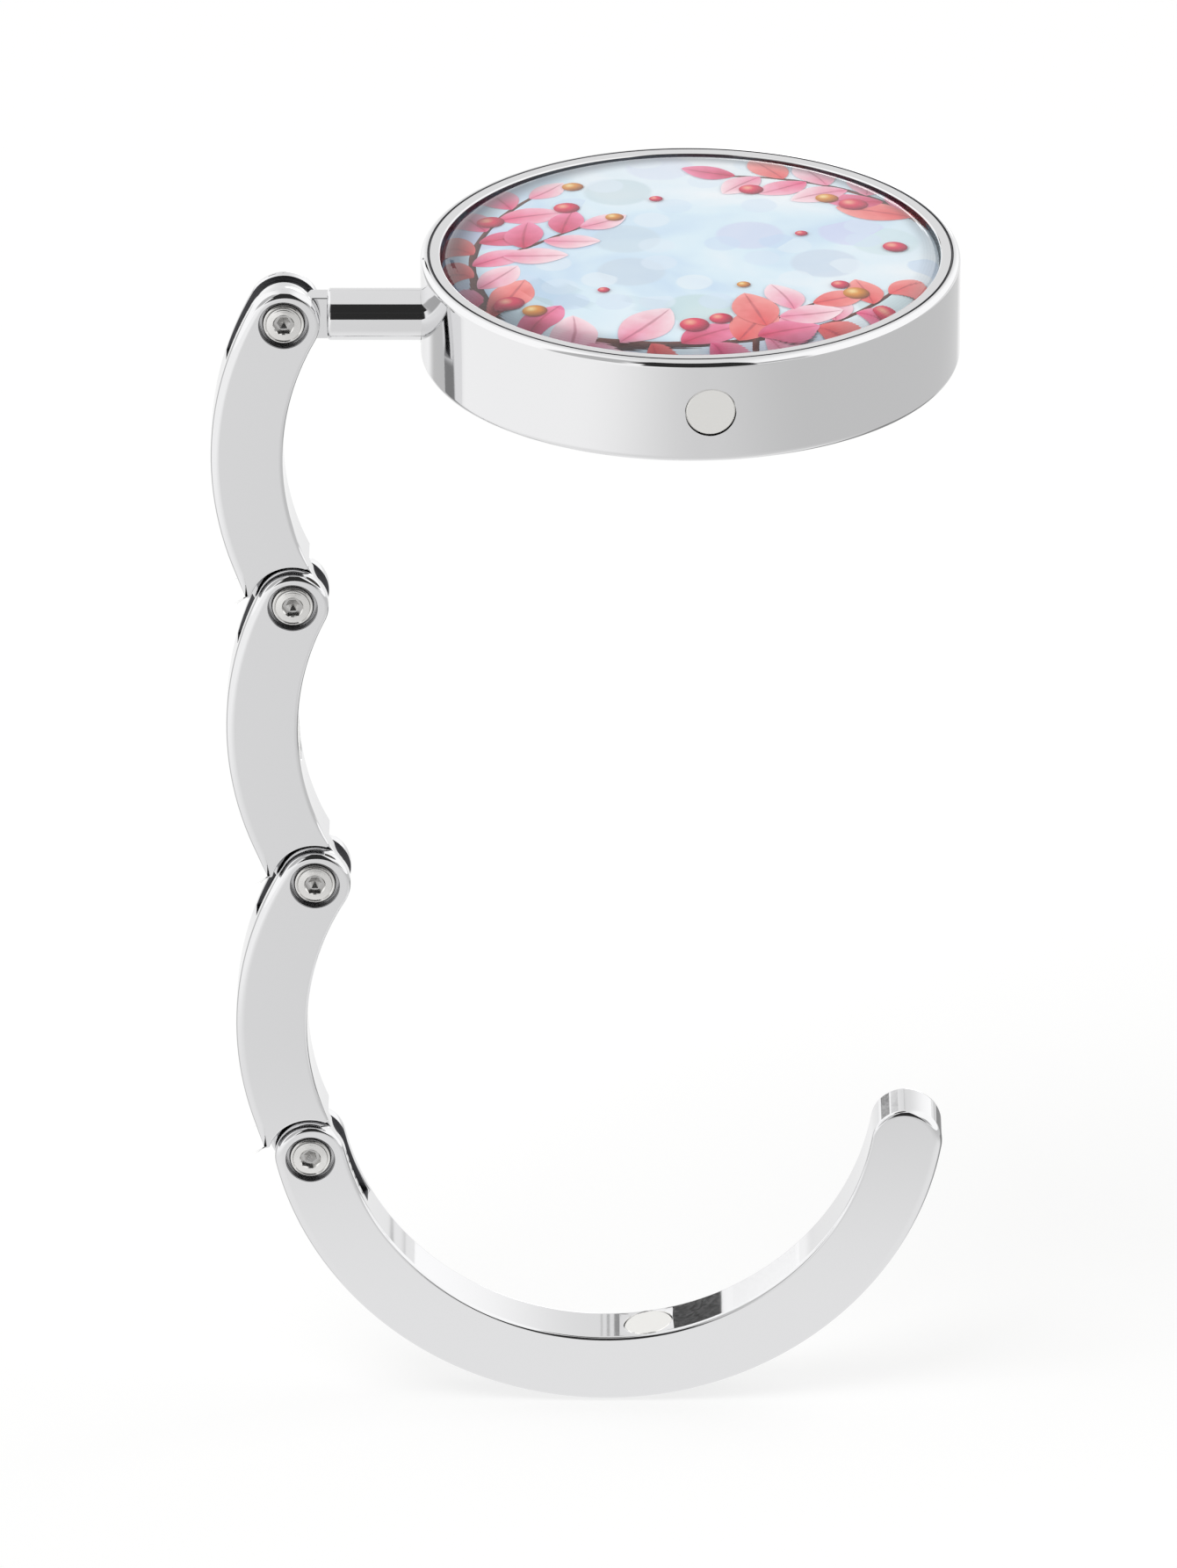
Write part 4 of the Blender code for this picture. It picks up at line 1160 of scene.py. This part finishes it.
# %% One casting for all links
link_rounding = rounding_of(link_points, far_pin)
casting = plate("link_casting", link_points, link_outward, HALF_THICK, link_rounding)
combine(casting, make_tongue(), "UNION")
cut_fork(casting)
far_hole = rod("far hole", PIN_HOLE_RADIUS, -1.2, 1.2)
combine(casting, moved(far_hole, Matrix.Translation((*far_pin, 0))), "DIFFERENCE")
print("link casting faces", len(casting.data.polygons))

# %% [markdown]
# ## Hanging the chain
# Each link was drawn with its own pin at the origin. The joints of the frame say where the pins
# are, and two neighbouring pins say how far a link is turned. The links are copies of one
# casting, and only the second one has a magnet's pocket in its hollow side.

# %% Where the pins are
JOINTS = [joint for joint in frame["joints"] if joint["name"].startswith("fold_")]
PINS = [Vector(joint["pos_m"]) / MM for joint in JOINTS]
# The hook has no second pin, so its turn is given.
HOOK_TURN = -12.95


def hung(pin, turn):
    """A link's place: x the way the chain runs, y away from the ring's middle, z the pin."""
    angle = math.radians(turn)
    run = Vector((-math.sin(angle), 0, -math.cos(angle)))
    out_of_ring = Vector((-math.cos(angle), 0, math.sin(angle)))
    place = Matrix((run, out_of_ring, Vector((0, 1, 0)))).transposed().to_4x4()
    place.translation = pin
    return place


def turn_between(pin, following):
    """A link's turn, from the line between its two pins and that line's slope when drawn."""
    line = following - pin
    drawn = bearing((0, 0), far_pin)
    return math.degrees(math.atan2(-line.x, -line.z)) + (360 - drawn)


turns = [turn_between(a, b) for a, b in zip(PINS, PINS[1:])]
places = [hung(pin, turn) for pin, turn in zip(PINS, [*turns, HOOK_TURN])]
print("pins in mm", [[round(v, 2) for v in pin] for pin in PINS])
print("turns", [round(turn, 2) for turn in turns])

# %% Three links
BODIES = ("first_link", "second_link", "third_link", "hook")
MAGNET_LINK = 2
for number, (place, body) in enumerate(zip(places[:3], BODIES), 1):
    link = linked(f"link_{number}_casting", casting.data.copy())
    if number == MAGNET_LINK:
        inwards = facing((*RING_MIDDLE, 0), 90 - LINK_ARC / 2)
        magnet = set_magnet(link, "link_2_magnet_disc", INNER_RADIUS, 1, inwards)
        settle(magnet, body, NICKEL, place, ["link_2_magnet"])
    mark_recess(ease_edges(link), link_recess)
    settle(link, body, CHROME, place, [f"link_{number}"])
bpy.data.objects.remove(casting)

# %% [markdown]
# ## The hook
# The hook is the same band carried on through 157.5 degrees, so that it can go most of the way
# round the disc. A curve with a bevel could make it, but both its ends are round in one
# direction only, so it is a plate with a fork as well. Its magnet looks inwards at the lowest
# point.

# %% Hook arm
HOOK_MAGNET_ARC = 86
tip_angle = 90 - HOOK_ARC
hook_points, hook_outward = outline(
    arc(RING_MIDDLE, OUTER_RADIUS, 90, tip_angle),
    arc(on_ring(tip_angle, PIN_CIRCLE), HALF_BAND, tip_angle, tip_angle - 180),
    arc(RING_MIDDLE, INNER_RADIUS, tip_angle, 90, hollow=True),
    near_end,
)
hook = plate("hook_casting", hook_points, hook_outward, HALF_THICK, rounding_of(hook_points))
cut_fork(hook)
inwards = facing((*RING_MIDDLE, 0), 90 - HOOK_MAGNET_ARC)
magnet = set_magnet(hook, "hook_magnet_disc", INNER_RADIUS, 1, inwards)
settle(magnet, "hook", NICKEL, places[-1], ["hook_magnet"])
mark_recess(ease_edges(hook), fork_recess)
settle(hook, "hook", CHROME, places[-1], ["hook_arm"])

# %% [markdown]
# ## Stem
# The stem is a round rod with a flat eye. It slides in and out of the disc and turns in it. The
# rod is turned and the eye is a plate with a neck. They could stay two meshes that touch, but
# chrome shows a line where two meshes meet, so they are joined into one skin.

# %% Rod
ROD_ROUND = 0.25
ROD_START = -2.8
ROD_END = -14.05
TAIL_END = -15.3
TAIL_RADIUS = 1.1
SCREW_BORE_RADIUS = 0.7
SCREW_BORE_END = -11.85
rod_section = np.vstack(
    [
        [(0, ROD_START)],
        rounded((ROD_RADIUS, ROD_START), ROD_ROUND, 90, 5),
        [(ROD_RADIUS, ROD_END), (TAIL_RADIUS, ROD_END)],
        [(TAIL_RADIUS, TAIL_END), (SCREW_BORE_RADIUS, TAIL_END)],
        [(SCREW_BORE_RADIUS, SCREW_BORE_END), (0, SCREW_BORE_END)],
    ]
)
stem = moved(turned("stem_rod", rod_section, 96), Matrix.Translation(PINS[0]) @ LYING)

# %% Eye
HALF_NECK = HALF_TONGUE - 0.65
NECK_END = ROD_START - 1.0
shoulder = math.degrees(math.acos(HALF_NECK / HALF_TONGUE))
low = -HALF_TONGUE * math.sin(math.radians(shoulder))
neck = [(HALF_NECK, low), (HALF_NECK, NECK_END), (-HALF_NECK, NECK_END), (-HALF_NECK, low)]
eye_points, eye_outward = outline(
    arc((0, 0), HALF_TONGUE, 180 + shoulder, -shoulder),
    *(straight(start, end) for start, end in zip(neck, neck[1:])),
)
eye = plate("eye", eye_points, eye_outward, TONGUE_HALF_THICK, TONGUE_ROUND)
combine(eye, rod("eye hole", PIN_HOLE_RADIUS, -1.5, 1.5), "DIFFERENCE")
combine(stem, moved(eye, hung(PINS[0], 0)), "UNION")
settle(stem, "stem", CHROME, instead_of=["swivel_stem"])

# %% [markdown]
# ## Pins and screws
# Each hinge is a barrel pin put in from the back, whose flat head is flush with the link, and a
# socket screw from the front that is turned into the barrel. The screw's head is a low dome with
# a rounded rim, which gives it the bright ring that the photograph shows round its socket. The
# socket could be a dark spot in the material, but only a hole with walls looks right from the
# side too. Its walls and the cone at its bottom are also painted darker, as painted shade.

# %% Pin
PIN_HEAD_RADIUS = 1.3
PIN_HEAD_ROUND = 0.07
PIN_HEAD_HEIGHT = 0.5
BARREL_RADIUS = 0.95
THREAD_RADIUS = 0.6
THREAD_END = 0.4
PIN_TOP = HALF_THICK - 0.05


def make_pin(name):
    """The barrel with its flat head towards +Z and a bore for the screw from the other end."""
    under_head = PIN_TOP - PIN_HEAD_HEIGHT
    section = [
        [(0, PIN_TOP)],
        rounded((PIN_HEAD_RADIUS, PIN_TOP), PIN_HEAD_ROUND, 90, 3),
        [(PIN_HEAD_RADIUS, under_head), (BARREL_RADIUS, under_head), (BARREL_RADIUS, -LEDGE)],
        [(THREAD_RADIUS, -LEDGE), (THREAD_RADIUS, THREAD_END), (0, THREAD_END)],
    ]
    return turned(name, np.vstack(section), 72)


# %% Screw
SCREW_TOP = -1.85
DOME_EDGE = 1.12
DOME_DROP = 0.12
# From the dome's edge over the rounded rim to the widest point.
SCREW_RIM = ((1.18, -1.66), (1.24, -1.69), (1.31, -1.67), (1.37, -1.6), (1.4, -1.5))
SCREW_SHANK = ((1.4, -1.35), (0.5, -1.35), (0.5, 0.25), (0, 0.25))
COUNTERSINK = ((0, -2.3), (1.2, -2.3), (0.62, -1.72), (0, -1.72))
CORNER = 0.72
DRILL_RADIUS = 0.45
SOCKET_BOTTOM = -1.45
DRILL_TIP = -1.15
SOCKET_WALL = ((0, -2.6), (CORNER, -2.6), (CORNER, SOCKET_BOTTOM))
SOCKET = (*SOCKET_WALL, (DRILL_RADIUS, SOCKET_BOTTOM), (0, DRILL_TIP))


def in_socket(middle, normal):
    """Painted shade: 0.7 on the socket's walls and 0.35 in the drilled cone at its bottom."""
    x, y, z = middle.T
    inside = (np.hypot(x, y) < CORNER + 0.02) & (z > -1.7) & (z < DRILL_TIP + 0.1)
    return np.where(z > SOCKET_BOTTOM - 0.01, 0.35, 0.7) * inside


def make_screw(name):
    """The screw's dome towards -Z: it falls from its crown by the drop times the square of
    the radius share, then a small step leads to the rounded rim of the head. The countersink
    takes the edge off the hexagon socket."""
    share = np.linspace(0, 1, 7)
    crown = np.column_stack([share * DOME_EDGE, SCREW_TOP + DOME_DROP * share**2])
    head = turned(name, np.vstack([crown, SCREW_RIM, SCREW_SHANK]), 72)
    combine(head, turned("countersink", COUNTERSINK, 48), "DIFFERENCE")
    combine(head, turned("socket", SOCKET, 6), "DIFFERENCE")
    return mark_recess(head, in_socket)


# %% Four pins and four screws
HINGES = ("link_1", "link_2", "link_3", "hook")
for hinge, body, pin, place in zip(HINGES, BODIES, PINS, places):
    head_steel = faced_steel(f"{hinge} pin head, faced and plated", "#DCDBDA", 0.14, pin * MM)
    barrel = make_pin(hinge + "_pin_barrel")
    settle(barrel, body, head_steel, place, [hinge + "_pin"])
    screw_steel = faced_steel(f"{hinge} screw, bright steel", "#E6E5E3", 0.1, pin * MM)
    screw = make_screw(hinge + "_screw_turned")
    settle(screw, body, screw_steel, place, [hinge + "_screw"])

# %% [markdown]
# ## Steel inside the disc
# The base plate, the stop plate and the tail screw are right as the CAD has them and mostly out
# of sight. They could be made again, but nothing would be gained, so they keep their meshes and
# get a rolled-steel finish: long fine streaks from the mill, a little darker and duller than
# the plating.

# %% Rolled sheet steel
# A streak is about this long and a twenty-fifth of it across, wider than a real one.
STREAK_SIZE = 5 * MM
STEEL, tree, place = new_material("rolled sheet steel")
streaked = node(tree, "Mapping", {"Vector": place, "Scale": (1.0, 25.0, 25.0)})
streaks = node(tree, "TexNoise", {"Vector": streaked, "Scale": 1 / STREAK_SIZE, "Detail": 4.0})
look = {
    "Base Color": colour("#C9C8C6"),
    "Metallic": 1.0,
    "Roughness": node(tree, "MapRange", [streaks, 0.3, 0.7, 0.24, 0.4], **SMOOTH),
}
node(tree, "OutputMaterial", {"Surface": node(tree, "BsdfPrincipled", look)})
for name in ("base_plate", "stem_stop_plate", "stem_tail_screw"):
    frame["nodes"][name].material_slots[0].material = STEEL
